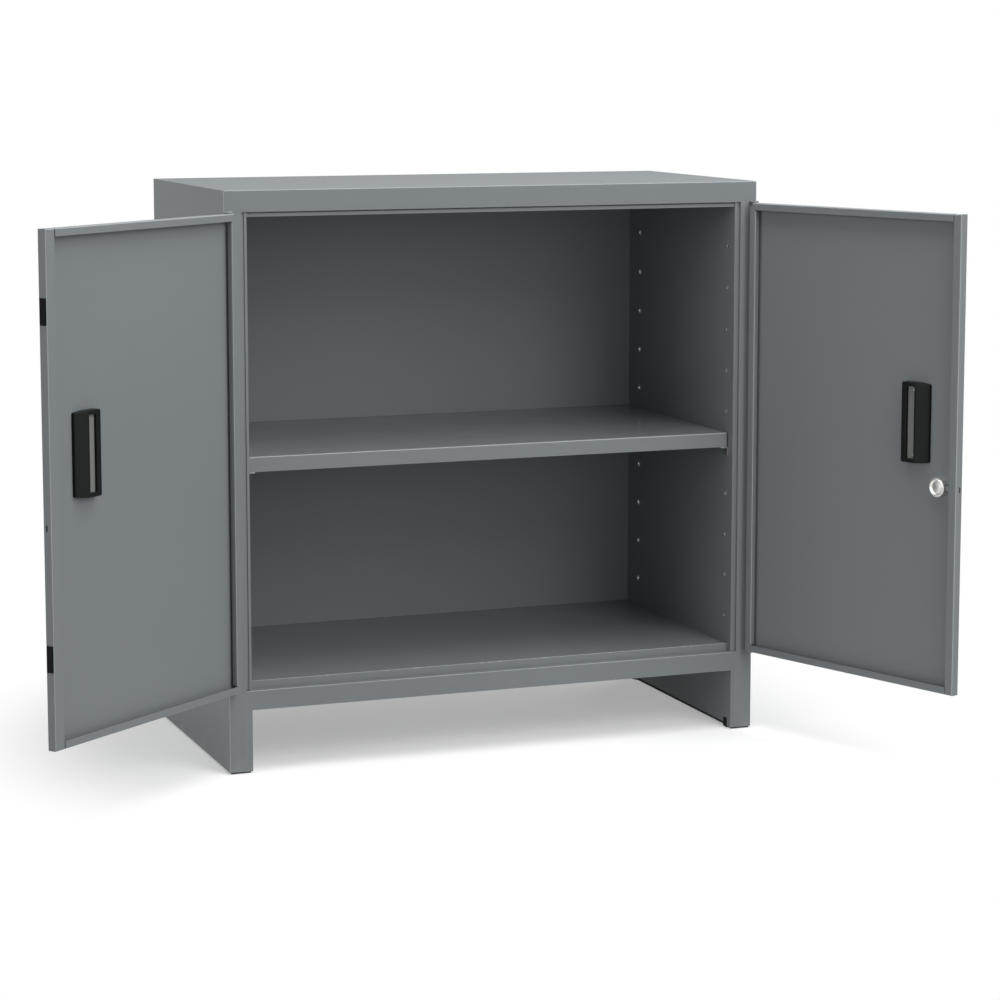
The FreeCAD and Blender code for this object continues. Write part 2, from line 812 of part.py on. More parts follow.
def bolt_slot(body, side):
    """The slot in a door's free wall that the lock's bolt goes through."""
    slot = rectangle(
        f"{SKIN_INSIDE} + 3.9 - bolt_play",
        f"{SKIN_INSIDE} + 3.9 + bolt_gauge + bolt_play",
        "lock_level - bolt_height/2 - bolt_play",
        "lock_level + bolt_height/2 + bolt_play",
    )
    start = f"{FREE_EDGE} - 2*gauge" if side == LEFT else f"-{FREE_EDGE} - gauge"
    cut(body, "YZ", [slot], start, "3*gauge")


# Handles
def handle_shell(label, side):
    """The inside housing: flat beside the slot, and sloped from it down to the door's free side."""
    body = on_axis(label, side, "handle_level", turning=True)
    low = f"({HANDLE} - shell_hinge_reach)"
    high = f"({HANDLE} + shell_free_reach)"
    crest = f"({HANDLE} + slot_width/2)"
    section = [
        (low, SKIN_INSIDE),
        (high, SKIN_INSIDE),
        (high, f"{SKIN_INSIDE} + shell_foot"),
        (crest, RIM),
        (low, RIM),
    ]
    add(body, "XY", [mirrored(section, side)], "-shell_length/2", "shell_length")
    end = size("shell_length") / 2
    foot = size("axis_front") - size("door_standoff") - size("door_thickness") + size("gauge")
    bevel_edges(
        body,
        lambda point, edge: near(abs(point.z), end) and point.y > foot + 1,
        "shell_bevel",
    )
    hollow = [
        (f"{low} + shell_wall", SKIN_INSIDE),
        (f"{high} - shell_wall", SKIN_INSIDE),
        (f"{high} - shell_wall", f"{SKIN_INSIDE} + shell_foot - shell_wall"),
        (f"{crest} + 2*shell_wall", f"{RIM} - strip_depth"),
        (f"{low} + shell_wall", f"{RIM} - strip_depth"),
    ]
    cut(body, "XY", [mirrored(hollow, side)], "-shell_length/2 + shell_wall", "shell_length - 2*shell_wall")
    slot = rectangle(
        f"{HANDLE} - slot_width/2", f"{HANDLE} + slot_width/2", "-slot_length/2", "slot_length/2", side
    )
    cut(body, "XZ", [slot], f"{RIM} - strip_depth - 1", "strip_depth + 1")
    return body


def handle_strip(label, side):
    """The grey plate that closes the slot of the housing."""
    body = on_axis(label, side, "handle_level", turning=True)
    plate = rectangle(
        f"{HANDLE} - slot_width/2 - shell_wall",
        f"{HANDLE} + slot_width/2 + shell_wall",
        "-slot_length/2 - shell_wall",
        "slot_length/2 + shell_wall",
        side,
    )
    add(body, "XZ", [plate], f"{RIM} - strip_depth - gauge", "gauge")
    holes = [(f"{side}*{HANDLE}", level, "screw_shank") for level in ("screw_level", "-screw_level")]
    cut_round(body, "XZ", holes, f"{RIM} - strip_depth - gauge", "gauge")
    return body


def handle_bezel(label, side):
    """The outside frame round the finger opening, with the collar that fits the door's cut-out."""
    body = on_axis(label, side, "handle_level", turning=True)
    frame = rectangle(
        f"{GRIP} - bezel_width/2", f"{GRIP} + bezel_width/2", "-bezel_length/2", "bezel_length/2", side
    )
    add(body, "XZ", [frame], f"{SKIN} - bezel_height", "bezel_height")
    round_edges(body, lambda point, edge: runs_along(edge, "y"), "bezel_corner")
    collar = rectangle(
        f"{GRIP} - cutout_width/2", f"{GRIP} + cutout_width/2", "-cutout_length/2", "cutout_length/2", side
    )
    add(body, "XZ", [collar], SKIN, "gauge")
    grip = rectangle(
        f"{GRIP} - grip_width/2", f"{GRIP} + grip_width/2", "-grip_length/2", "grip_length/2", side
    )
    cut(body, "XZ", [grip], f"{SKIN} - bezel_height", "bezel_height + gauge")
    return body


def handle_screws(label, side):
    """Two screws through the strip, near the ends of the slot."""
    body = on_axis(label, side, "handle_level", turning=True)
    levels = ("screw_level", "-screw_level")
    shanks = [(f"{side}*{HANDLE}", level, "screw_shank") for level in levels]
    add_round(body, "XZ", shanks, f"{RIM} - strip_depth - 2*gauge", "2*gauge")
    heads = [(f"{side}*{HANDLE}", level, "screw_head") for level in levels]
    add_round(body, "XZ", heads, f"{RIM} - strip_depth", "screw_height")
    return body


# Lock, on the right door. Its parts stack from the skin inwards: case, crank, bolt, cap.
def lock_bezel():
    """The outside rosette with the collar that the plug turns in."""
    body = on_axis("lock_bezel", RIGHT, "lock_level", turning=True)
    centre = (f"-{LOCK}", "0")
    add_round(body, "XZ", [(*centre, "escutcheon_radius")], f"{SKIN} - bezel_height", "bezel_height")
    front = size("axis_front") - size("door_standoff") - size("door_thickness") - size("bezel_height")
    bevel_edges(body, lambda point, edge: near(point.y, front), "bezel_height*0.4")
    add_round(body, "XZ", [(*centre, "barrel_radius")], SKIN, "gauge")
    cut_round(
        body, "XZ", [(*centre, "plug_radius + plug_clearance")], f"{SKIN} - bezel_height", "bezel_height + gauge"
    )
    return body


def lock_case():
    """The round cup on the inside of the skin, open where the bolt leaves it."""
    body = on_axis("lock_case", RIGHT, "lock_level", turning=True)
    centre = (f"-{LOCK}", "0")
    base = SKIN_INSIDE
    add_round(body, "XZ", [(*centre, "case_radius")], base, "case_height - 2")
    cut_round(body, "XZ", [(*centre, "case_radius - case_wall")], f"{base} + 1.1", "case_height - 3.1")
    cut_round(body, "XZ", [(*centre, "plug_radius + plug_clearance")], base, "1.1")
    half = "(bolt_height/2 + bolt_play)"
    mouth = rectangle(f"-{LOCK} - case_radius - 1", f"-{LOCK} - case_radius/2", f"-{half}", half)
    cut(body, "XZ", [mouth], f"{base} + 3.9 - bolt_play", "bolt_gauge + 2*bolt_play")
    return body


def lock_cap():
    """The turned cap that closes the case, with a ring groove round its raised middle."""
    body = on_axis("lock_cap", RIGHT, "lock_level", turning=True)
    centre = (f"-{LOCK}", "0")
    floor = f"{SKIN_INSIDE} + 1.1 + case_room"
    add_round(body, "XZ", [(*centre, "case_radius - case_wall")], floor, "case_height - 1.1 - case_room")
    sketch = new_sketch(body, "XZ", f"{SKIN_INSIDE} + case_height - 2.5")
    draw_circle(sketch, *centre, "case_radius - 3")
    draw_circle(sketch, *centre, "barrel_radius + 1")
    extrude(body, "Pocket", sketch, "XZ", "2.5")
    return body


def lock_plug():
    """The turning plug: keyed front, crank disc behind the skin and crank pin in the bolt's slot."""
    body = on_axis("lock_plug", RIGHT, "lock_level", turning=True)
    centre = (f"-{LOCK}", "0")
    front = f"{SKIN} - bezel_height"
    disc = f"{SKIN_INSIDE} + 1.5"
    add_round(body, "XZ", [(*centre, "plug_radius")], front, "bezel_height + gauge + 1.6")
    add_round(body, "XZ", [(*centre, "crank_radius")], disc, "1.6")
    pin = (f"-{LOCK} + crank_throw*0.70711", "-crank_throw*0.70711", "crank_pin")
    add_round(body, "XZ", [pin], f"{disc} + 1.6", "4")
    keyway = rectangle(f"-{LOCK} - 0.7", f"-{LOCK} + 0.7", "-3.6", "3.6")
    cut(body, "XZ", [keyway], front, "3")
    return body


def lock_bolt():
    """The flat bolt, with an upright slot in its tail for the crank pin."""
    body = on_axis("lock_bolt", RIGHT, "lock_level", turning=True)
    tail = "-(door_side_gap - axis_inset + door_width - lock_inset) + crank_throw*0.70711"
    top = "bolt_height/2"
    tip = f"-{FREE_EDGE} + bolt_setback"
    outline = [
        (f"{tail} + 4.5", top),
        (tip, top),
        (tip, f"-{top}"),
        (f"{tail} - 5", f"-{top}"),
        (f"{tail} - 5", "-10.5"),
        (f"{tail} + 4.5", "-10.5"),
    ]
    start = f"{SKIN_INSIDE} + 3.9"
    add(body, "XZ", [outline], start, "bolt_gauge")
    slot = rectangle(f"{tail} - crank_pin - 0.5", f"{tail} + crank_pin + 0.5", "-9.2", "-2.8")
    cut(body, "XZ", [slot], start, "bolt_gauge")
    return body


# Buffers on the left door's free edge
def door_buffers():
    """Two black buffers, each with a stem pressed through the wall."""
    body = on_axis("door_buffers", LEFT, "0", turning=True)
    pads = []
    stems = []
    for level in ("buffer_low", "buffer_high"):
        pads.append(
            rectangle(
                f"{SKIN} + bend_radius", f"{SKIN} + bend_radius + buffer_width",
                f"{level} - buffer_length/2", f"{level} + buffer_length/2",
            )
        )
        stems.append(buffer_stem(level))
    add(body, "YZ", pads, FREE_EDGE, "buffer_proud")
    add(body, "YZ", stems, f"{FREE_EDGE} - 2*gauge", "2*gauge")
    return body


def buffer_stem(level):
    """The outline of a buffer's stem, and of the hole that it fills."""
    middle = f"({SKIN} + door_thickness/2)"
    return rectangle(f"{middle} - buffer_stem/2", f"{middle} + buffer_stem/2", f"{level} - 15", f"{level} + 15")


side_panel("left_side_panel", LEFT)
side_panel("right_side_panel", RIGHT)
liner("left_liner", LEFT)
liner("right_liner", RIGHT)
front_rail()
top_panel()
header_strip()
back_panel()
floor_panel()
stiffeners("floor_stiffeners", ("cabinet_depth/3", "2*cabinet_depth/3"), "(floor_high - gauge)", "floor_hat_height")
shelf()
stiffeners("shelf_stiffener", ("cabinet_depth/2",), "(shelf_high - gauge)", "shelf_hat_height")
shelf_clips()
feet()
for name, side in (("left", LEFT), ("right", RIGHT)):
    door = door_panel(f"{name}_door_panel", side, f"{name}_free_rim", f"{name}_slit")
    bolt_slot(door, side)
    if side == LEFT:
        stems = [buffer_stem(level) for level in ("buffer_low", "buffer_high")]
        cut(door, "YZ", stems, f"{FREE_EDGE} - gauge", "gauge")
    else:
        cut_round(door, "XZ", [(f"-{LOCK}", "lock_level", "barrel_radius")], SKIN, "gauge")
    for place, end in (("upper", UP), ("lower", DOWN)):
        pivot_bracket(f"{name}_{place}_pivot_bracket", side, end)
        pivot_pin(f"{name}_{place}_pivot_pin", side, end)
        pivot_plate(f"{name}_{place}_pivot_plate", side, end)
    handle_bezel(f"{name}_handle_bezel", side)
    handle_shell(f"{name}_handle_shell", side)
    handle_strip(f"{name}_handle_strip", side)
    handle_screws(f"{name}_handle_screws", side)
door_buffers()
lock_bezel()
lock_case()
lock_cap()
lock_plug()
lock_bolt()

doc.recompute()

for item in doc.Objects:
    if "Invalid" in item.State or "Error" in item.State:
        raise RuntimeError(f"{item.Label} failed: {item.State}")
for feature in cuts:
    if feature.Shape.Volume > feature.BaseFeature.Shape.Volume - 0.01:
        raise RuntimeError(f"a cut of {feature.getParentGeoFeatureGroup().Label} removes nothing")
for body in nodes:
    if body.Shape.isNull() or not body.Shape.isValid():
        raise RuntimeError(f"{body.Label} is not a valid solid")

os.makedirs("parts", exist_ok=True)
for body in nodes:
    body.Shape.exportStep(f"parts/{body.Label}.step")
    print(f"{body.Label}: {len(body.Shape.Solids)} solid, {body.Shape.Volume / 1000:.1f} cm3")
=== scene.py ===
"""Visual scene of the sheet-steel tool cabinet.

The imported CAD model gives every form. This script dresses its nodes with finishes, adds the
small pieces that a finished cabinet has, and sets the floor, the light and the camera.
"""

import json
import logging
import math
from dataclasses import dataclass
from enum import Enum
from typing import Any, Sequence

import bmesh
import bpy
import numpy as np
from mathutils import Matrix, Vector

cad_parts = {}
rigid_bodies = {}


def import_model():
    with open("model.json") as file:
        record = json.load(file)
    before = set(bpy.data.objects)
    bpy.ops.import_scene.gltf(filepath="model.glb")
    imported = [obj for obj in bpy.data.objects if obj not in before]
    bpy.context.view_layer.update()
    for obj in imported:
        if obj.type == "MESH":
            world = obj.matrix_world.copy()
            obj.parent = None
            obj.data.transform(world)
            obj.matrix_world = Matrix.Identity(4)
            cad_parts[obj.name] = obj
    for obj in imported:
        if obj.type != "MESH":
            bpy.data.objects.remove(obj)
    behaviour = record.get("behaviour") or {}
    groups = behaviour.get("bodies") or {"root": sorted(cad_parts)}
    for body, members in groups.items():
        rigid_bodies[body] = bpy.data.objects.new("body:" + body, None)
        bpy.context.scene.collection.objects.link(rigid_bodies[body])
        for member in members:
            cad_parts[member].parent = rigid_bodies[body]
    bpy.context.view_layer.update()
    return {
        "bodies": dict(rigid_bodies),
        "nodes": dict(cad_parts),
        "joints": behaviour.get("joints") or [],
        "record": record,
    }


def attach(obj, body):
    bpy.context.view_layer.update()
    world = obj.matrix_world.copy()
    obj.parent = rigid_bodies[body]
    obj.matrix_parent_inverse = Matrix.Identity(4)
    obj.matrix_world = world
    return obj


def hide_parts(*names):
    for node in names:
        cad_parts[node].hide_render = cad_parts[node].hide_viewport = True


log = logging.getLogger("tool_cabinet")

MM = 0.001
# Points of a mesh that lie closer together than this, in metres, are one.
MERGE = 2e-6
Colour = tuple[float, float, float]


class Slot(Enum):
    """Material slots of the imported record."""

    CARCASS = "carcass_paint"
    DOOR = "door_paint"
    SHELF = "shelf_paint"
    PLASTIC = "black_plastic"
    PLATE = "grey_plate"
    RUBBER = "black_rubber"
    ZINC = "zinc"
    LOCK = "lock_metal"
    STEEL = "lock_steel"


class Side(Enum):
    """The two sides of the cabinet, with the sign of a door's closed direction along X."""

    LEFT = 1
    RIGHT = -1

    @property
    def word(self) -> str:
        """The side's name as node names spell it."""
        return self.name.lower()


# Shader expressions


class Value:
    """A socket of a node tree on which arithmetic adds Math nodes."""

    def __init__(self, shader: "Shader", socket: bpy.types.NodeSocket) -> None:
        """Wrap a socket.

        Args:
            shader: The tree that the socket belongs to.
            socket: The output socket.
        """
        self.shader = shader
        self.socket = socket

    def _math(self, operation: str, *values: Any) -> "Value":
        """Add a Math node of the operation on the given values."""
        return self.shader.node("ShaderNodeMath", {"operation": operation}, dict(enumerate(values)))

    def __add__(self, other: Any) -> "Value":
        """The sum."""
        return self._math("ADD", self, other)

    __radd__ = __add__

    def __sub__(self, other: Any) -> "Value":
        """The difference."""
        return self._math("SUBTRACT", self, other)

    def __rsub__(self, other: Any) -> "Value":
        """The difference, taken from a number."""
        return self._math("SUBTRACT", other, self)

    def __mul__(self, other: Any) -> "Value":
        """The product."""
        return self._math("MULTIPLY", self, other)

    __rmul__ = __mul__

    def __gt__(self, other: Any) -> "Value":
        """One where the value is larger."""
        return self._math("GREATER_THAN", self, other)

    def __lt__(self, other: Any) -> "Value":
        """One where the value is smaller."""
        return self._math("LESS_THAN", self, other)

    def __abs__(self) -> "Value":
        """The distance from zero."""
        return self._math("ABSOLUTE", self)

    def maximum(self, other: Any) -> "Value":
        """The larger of the two."""
        return self._math("MAXIMUM", self, other)

    def ramp(self, low: float, high: float) -> "Value":
        """A smooth step from nought at low to one at high. High may be the smaller number."""
        inputs = {"Value": self, "From Min": low, "From Max": high, "To Min": 0.0, "To Max": 1.0}
        return self.shader.node("ShaderNodeMapRange", {"interpolation_type": "SMOOTHSTEP"}, inputs)

    def around(self, mean: float, spread: float) -> "Value":
        """The value, which runs from nought to one, scaled to a spread about a mean."""
        return self * spread + (mean - spread / 2)


@dataclass(frozen=True)
class Grain:
    """A noise over the surface.

    Args:
        scale: Its scale per metre.
        detail: How many finer layers it has.
        stretch: How much finer it is along each axis.
    """

    scale: float
    detail: float = 2.0
    stretch: tuple[float, float, float] = (1.0, 1.0, 1.0)


class Shader:
    """The node tree of a material or of the world, under construction."""

    def __init__(self, owner: bpy.types.Material | bpy.types.World) -> None:
        """Empty the owner's tree.

        Args:
            owner: The material or the world that the nodes belong to.
        """
        self.owner = owner
        owner.use_nodes = True
        self.tree = owner.node_tree
        self.tree.nodes.clear()

    def add(self, kind: str, settings: dict[str, Any], inputs: dict[Any, Any]) -> bpy.types.Node:
        """Add a node, set it up and link it.

        Args:
            kind: The node's type name.
            settings: Attributes that are set before the sockets.
            inputs: Values or links by socket name or number.

        Returns:
            The node.
        """
        made = self.tree.nodes.new(kind)
        for key, value in settings.items():
            setattr(made, key, value)
        for key, value in inputs.items():
            if isinstance(value, Value):
                self.tree.links.new(value.socket, made.inputs[key])
            else:
                made.inputs[key].default_value = value
        return made

    def node(
        self, kind: str, settings: dict[str, Any], inputs: dict[Any, Any], output: Any = 0
    ) -> Value:
        """One output of a new node, chosen by its name or number."""
        return Value(self, self.add(kind, settings, inputs).outputs[output])

    def place(self) -> Value:
        """The point of the surface in the row frame."""
        return self.node("ShaderNodeTexCoord", {}, {}, "Object")

    def facing(self) -> Value:
        """The direction that the surface faces in the row frame."""
        return self.node("ShaderNodeTexCoord", {}, {}, "Normal")

    def parts(self, vector: Value) -> tuple[Value, ...]:
        """The three components of a vector."""
        split = self.add("ShaderNodeSeparateXYZ", {}, {0: vector})
        return tuple(Value(self, output) for output in split.outputs)

    def noise(self, grain: Grain) -> Value:
        """The strength of a grain at the point of the surface."""
        inputs = {"Vector": self.place(), "Scale": grain.stretch}
        where = self.node("ShaderNodeMapping", {}, inputs)
        inputs = {"Vector": where, "Scale": grain.scale, "Detail": grain.detail}
        return self.node("ShaderNodeTexNoise", {}, inputs)

    def blend(self, factor: Any, first: Any, second: Any) -> Value:
        """A mix of two colours by a factor."""
        rgba = [value if isinstance(value, Value) else (*value, 1.0) for value in (first, second)]
        inputs = {0: factor, 6: rgba[0], 7: rgba[1]}
        return self.node("ShaderNodeMix", {"data_type": "RGBA"}, inputs, 2)

    def bump(self, height: Value, relief: tuple[float, float]) -> Value:
        """A normal tilted by a height field, with the relief's strength and depth in metres."""
        strength, depth = relief
        inputs = {"Height": height, "Strength": strength, "Distance": depth}
        return self.node("ShaderNodeBump", {}, inputs)

    def seen(self) -> Value:
        """One for rays of the camera, of gloss and of glass."""
        rays = self.add("ShaderNodeLightPath", {}, {}).outputs
        names = ("Is Camera Ray", "Is Glossy Ray", "Is Transmission Ray")
        camera, gloss, glass = (Value(self, rays[name]) for name in names)
        return camera.maximum(gloss).maximum(glass)

    def principled(self, inputs: dict[str, Any]) -> Value:
        """A Principled surface with the given values or links of its sockets."""
        return self.node("ShaderNodeBsdfPrincipled", {}, inputs)

    def finish(self, surface: Value) -> bpy.types.Material | bpy.types.World:
        """Link a surface to the tree's output and hand the owner back."""
        kind = "World" if isinstance(self.owner, bpy.types.World) else "Material"
        self.add(f"ShaderNodeOutput{kind}", {}, {"Surface": surface})
        return self.owner


# Meshes


def link(name: str, data: Any) -> bpy.types.Object:
    """Put an object with the given data into the scene."""
    thing = bpy.data.objects.new(name, data)
    bpy.context.scene.collection.objects.link(thing)
    return thing


def clean(mesh: bpy.types.Mesh) -> None:
    """Merge points that lie together and turn all faces outwards."""
    work = bmesh.new()
    work.from_mesh(mesh)
    bmesh.ops.remove_doubles(work, verts=work.verts, dist=MERGE)
    bmesh.ops.dissolve_degenerate(work, edges=work.edges, dist=MERGE)
    bmesh.ops.recalc_face_normals(work, faces=work.faces)
    work.to_mesh(mesh)
    work.free()


def skin(name: str, points: np.ndarray, closed: bool) -> bpy.types.Object:
    """Cover grids of points with four-sided faces and put them into one object.

    Point (i, j) of a patch joins (i + 1, j), (i + 1, j + 1) and (i, j + 1). The columns always
    close on themselves, because every patch here goes round an axis or a section.

    Args:
        name: The object's name.
        points: Points in metres, as patches, rows, columns and coordinates.
        closed: Whether the last row joins the first one, as on a ring.

    Returns:
        The object, with closed seams and poles and with faces that point outwards.
    """
    patches, rows, columns = points.shape[:3]
    number = np.arange(patches * rows * columns).reshape(patches, rows, columns)
    number = np.concatenate((number, number[:, :, :1]), axis=2)
    if closed:
        number = np.concatenate((number, number[:, :1]), axis=1)
    corners = (number[:, :-1, :-1], number[:, 1:, :-1], number[:, 1:, 1:], number[:, :-1, 1:])
    faces = np.stack(corners, -1).reshape(-1, 4)
    mesh = bpy.data.meshes.new(name)
    mesh.from_pydata(points.reshape(-1, 3).tolist(), [], faces.tolist())
    clean(mesh)
    mesh.shade_smooth()
    return link(name, mesh)


def turned(profile: Sequence[tuple[float, float]], steps: int) -> np.ndarray:
    """Turn a profile about the third axis.

    A point of radius r and height h becomes (r cos a, r sin a, h) for each of the equal angles a.

    Args:
        profile: Radius and height of each point, in millimetres.
        steps: The number of angles.

    Returns:
        Points in metres, as rows, columns and coordinates.
    """
    radius, height = np.array(profile).T[:, :, None] * MM
    angle = np.linspace(0.0, 2 * np.pi, steps, endpoint=False)[None, :]
    spread = np.broadcast_to(height, (len(profile), steps))
    return np.stack((radius * np.cos(angle), radius * np.sin(angle), spread), axis=-1)


@dataclass(frozen=True)
class Place:
    """A local frame on the cabinet: an origin and three directions, as rows.

    Args:
        origin: The frame's origin in metres.
        axes: The directions of its first, second and third coordinate.
    """

    origin: np.ndarray
    axes: np.ndarray

    def put(self, points: np.ndarray) -> np.ndarray:
        """Local points in the row frame: the origin plus coordinates times directions."""
        return self.origin + points @ self.axes


@dataclass(frozen=True)
class Door:
    """Where a door stands open, and the distances on it.

    Args:
        side: The door's side.
        opening: How far it stands open, in degrees.
        axis: The hinge axis: its distances from the middle and in front of the X axis, in mm.
    """

    side: Side
    opening: float
    axis: tuple[float, float] = (485.5, 254.0)

    @property
    def body(self) -> str:
        """The name of the door's body."""
        return f"{self.side.word}_door"

    def at(self, along: float, level: float, inward: float) -> Place:
        """A frame on the door.

        Args:
            along: Distance from the hinge axis towards the free edge, in millimetres.
            level: Height above the floor.
            inward: Distance from the axis towards the cabinet's inside, when the door is shut.

        Returns:
            The frame, whose coordinates run along the door, upwards and inwards.
        """
        sign = self.side.value
        turn = -sign * math.radians(self.opening)
        run = np.array([math.cos(turn), math.sin(turn), 0.0]) * sign
        inside = np.array([-math.sin(turn), math.cos(turn), 0.0])
        up = np.array([0.0, 0.0, 1.0])
        hinge = np.array([-sign * self.axis[0], -self.axis[1], 0.0])
        origin = (hinge + run * along + up * level + inside * inward) * MM
        return Place(origin, np.array([run, up, inside]))


LEFT_DOOR = Door(Side.LEFT, 142.0)
RIGHT_DOOR = Door(Side.RIGHT, 110.0)


# Finishes


def shade(colour: Colour, factor: float) -> Colour:
    """A colour made lighter or darker by a factor."""
    return tuple(value * factor for value in colour)


@dataclass(frozen=True)
class Dust:
    """Dust that lies in patches near the floor.

    Args:
        colour: Its linear colour.
        level: Height that it reaches, in metres.
        cover: Share of the paint that it hides at most.
        grain: The noise of the patches.
        limits: Values of the noise at which a patch starts and is whole.
    """

    colour: Colour = (0.34, 0.33, 0.31)
    level: float = 0.05
    cover: float = 0.25
    grain: Grain = Grain(28.0, 4.0)
    limits: tuple[float, float] = (0.45, 0.7)

    def over(self, shader: Shader, colour: Value, height: Value) -> Value:
        """A colour with the dust on it."""
        factor = height.ramp(self.level, 0.0) * shader.noise(self.grain).ramp(*self.limits)
        return shader.blend(factor * self.cover, colour, self.colour)


@dataclass(frozen=True)
class Chips:
    """Paint that is chipped along a level front edge.

    Args:
        edge: Depth and height of the edge, in metres.
        reach: Distances from the edge at which the chips end and are whole.
        colour: Linear colour of the chips.
        grain: The noise of the chips.
        limits: Values of the noise at which a chip starts and is whole.
    """

    edge: tuple[float, float]
    reach: tuple[float, float] = (0.0016, 0.0003)
    colour: Colour = (0.50, 0.51, 0.51)
    grain: Grain = Grain(70.0, 4.0)
    limits: tuple[float, float] = (0.60, 0.64)

    def over(self, shader: Shader, colour: Value, depth: Value, height: Value) -> Value:
        """A colour with the chips in it."""
        edge_depth, edge_height = self.edge
        near = abs(height - edge_height).ramp(*self.reach)
        near = near * abs(depth - edge_depth).ramp(*self.reach)
        return shader.blend(shader.noise(self.grain).ramp(*self.limits) * near, colour, self.colour)


@dataclass(frozen=True)
class Folds:
    """A painted highlight: a paler colour on the folds between flat faces, where their shine would
    catch the light.

    Args:
        headings: Headings in degrees of the upright flat faces. Others stand square to these.
        paler: How much paler than the paint the painted highlight on a fold is.
        cover: Share of the paint that this hides at most.
        limits: Share of a normal along the nearest flat direction, on a flat face and on a fold.
    """

    headings: tuple[float, ...]
    paler: float = 1.75
    cover: float = 0.8
    limits: tuple[float, float] = (0.995, 0.93)

    def over(
        self, shader: Shader, colour: Value, paint: Colour, facing: tuple[Value, ...]
    ) -> Value:
        """A colour with a painted highlight where the surface faces none of the flat directions.

        Args:
            shader: The tree to build in.
            colour: The colour so far.
            paint: The paint's own colour.
            facing: The three components of the surface's normal.

        Returns:
            The colour with the painted highlight on its folds.
        """
        across, along, up = facing
        flat = abs(up)
        for heading in self.headings:
            cosine, sine = math.cos(math.radians(heading)), math.sin(math.radians(heading))
            flat = flat.maximum(abs(across * cosine + along * sine))
            flat = flat.maximum(abs(along * cosine - across * sine))
        factor = flat.ramp(*self.limits) * self.cover
        return shader.blend(factor, colour, shade(paint, self.paler))


@dataclass(frozen=True)
class SatinPaint:
    """Powder coat with a faint orange peel, cloudy gloss, dust near the floor and a painted
    highlight on its folds.

    Args:
        name: The material's name.
        colour: The paint's linear colour.
        roughness: Mean roughness.
        shine: Strength of the reflection.
        folds: The painted highlight on its folds, or None.
        chips: The chips on an edge, or None.
        tray: Height below which faces that look up are rubbed smooth, in metres.
        rubbed: How much smoother these faces are.
        upward: Rise of the normal above which a face looks up.
        contrast: How much darker and lighter than the colour its two shades are.
        shares: How strongly the clouds and the speckle mix the shades.
        clouds: Wide noise in the colour and the gloss.
        cloudiness: How far the clouds change the roughness.
        speckle: Fine noise in the colour.
        peel: Noise of the orange peel.
        relief: Strength of the orange peel and its depth in metres.
        dust: The dust near the floor.
    """

    name: str
    colour: Colour
    roughness: float = 0.46
    shine: float = 0.2
    folds: Folds | None = None
    chips: Chips | None = None
    tray: float = 0.0
    rubbed: float = 0.32
    upward: float = 0.9
    contrast: float = 0.05
    shares: tuple[float, float] = (0.8, 0.5)
    clouds: Grain = Grain(3.0, 3.0)
    cloudiness: float = 0.08
    speckle: Grain = Grain(900.0, 1.0)
    peel: Grain = Grain(420.0)
    relief: tuple[float, float] = (0.10, 0.0004)
    dust: Dust = Dust()

    def build(self) -> bpy.types.Material:
        """Make the material: shaded colour with dust, chips and a painted highlight on the folds,
        over an orange peel.
        """
        shader = Shader(bpy.data.materials.new(self.name))
        cloud = shader.noise(self.clouds)
        _, depth, height = shader.parts(shader.place())
        facing = shader.parts(shader.facing())
        colour = self.dust.over(shader, self.shaded(shader, cloud), height)
        if self.chips:
            colour = self.chips.over(shader, colour, depth, height)
        # A painted highlight on the folds, where a shine would catch the light.
        if self.folds:
            colour = self.folds.over(shader, colour, self.colour, facing)
        rough = cloud.around(self.roughness, self.cloudiness)
        if self.tray:
            looks_up = facing[2] > self.upward
            rough = rough - (height < self.tray) * looks_up * self.rubbed
        inputs = {
            "Base Color": colour,
            "Roughness": rough,
            "Normal": shader.bump(shader.noise(self.peel), self.relief),
            "Specular IOR Level": self.shine,
        }
        return shader.finish(shader.principled(inputs))

    def shaded(self, shader: Shader, cloud: Value) -> Value:
        """The colour between its two shades, by the clouds and the speckle about their means."""
        speckle = shader.noise(self.speckle)
        factor = (cloud - 0.5) * self.shares[0] + (speckle - 0.5) * self.shares[1] + 0.5
        dark, light = shade(self.colour, 1 - self.contrast), shade(self.colour, 1 + self.contrast)
        return shader.blend(factor, dark, light)


@dataclass(frozen=True)
class GrainedPlastic:
    """Black moulded plastic or rubber with a fine grain.

    Args:
        name: The material's name.
        colour: Its linear colour.
        roughness: Mean roughness.
        shine: Strength of the reflection.
        spots: Noise in the colour.
        lighter: How much lighter than the colour the light spots are.
        gloss: Noise in the roughness.
        spread: How far that changes the roughness.
        grain: Noise of the raised grain.
        relief: Strength of the grain and its depth in metres.
    """

    name: str
    colour: Colour
    roughness: float = 0.42
    shine: float = 0.12
    spots: Grain = Grain(300.0)
    lighter: float = 1.5
    gloss: Grain = Grain(40.0)
    spread: float = 0.12
    grain: Grain = Grain(1400.0, 3.0)
    relief: tuple[float, float] = (0.25, 0.0003)

    def build(self) -> bpy.types.Material:
        """Make the material: two close shades and a fine raised grain."""
        shader = Shader(bpy.data.materials.new(self.name))
        spots = shader.noise(self.spots)
        inputs = {
            "Base Color": shader.blend(spots, self.colour, shade(self.colour, self.lighter)),
            "Roughness": shader.noise(self.gloss).around(self.roughness, self.spread),
            "Normal": shader.bump(shader.noise(self.grain), self.relief),
            "Specular IOR Level": self.shine,
        }
        return shader.finish(shader.principled(inputs))


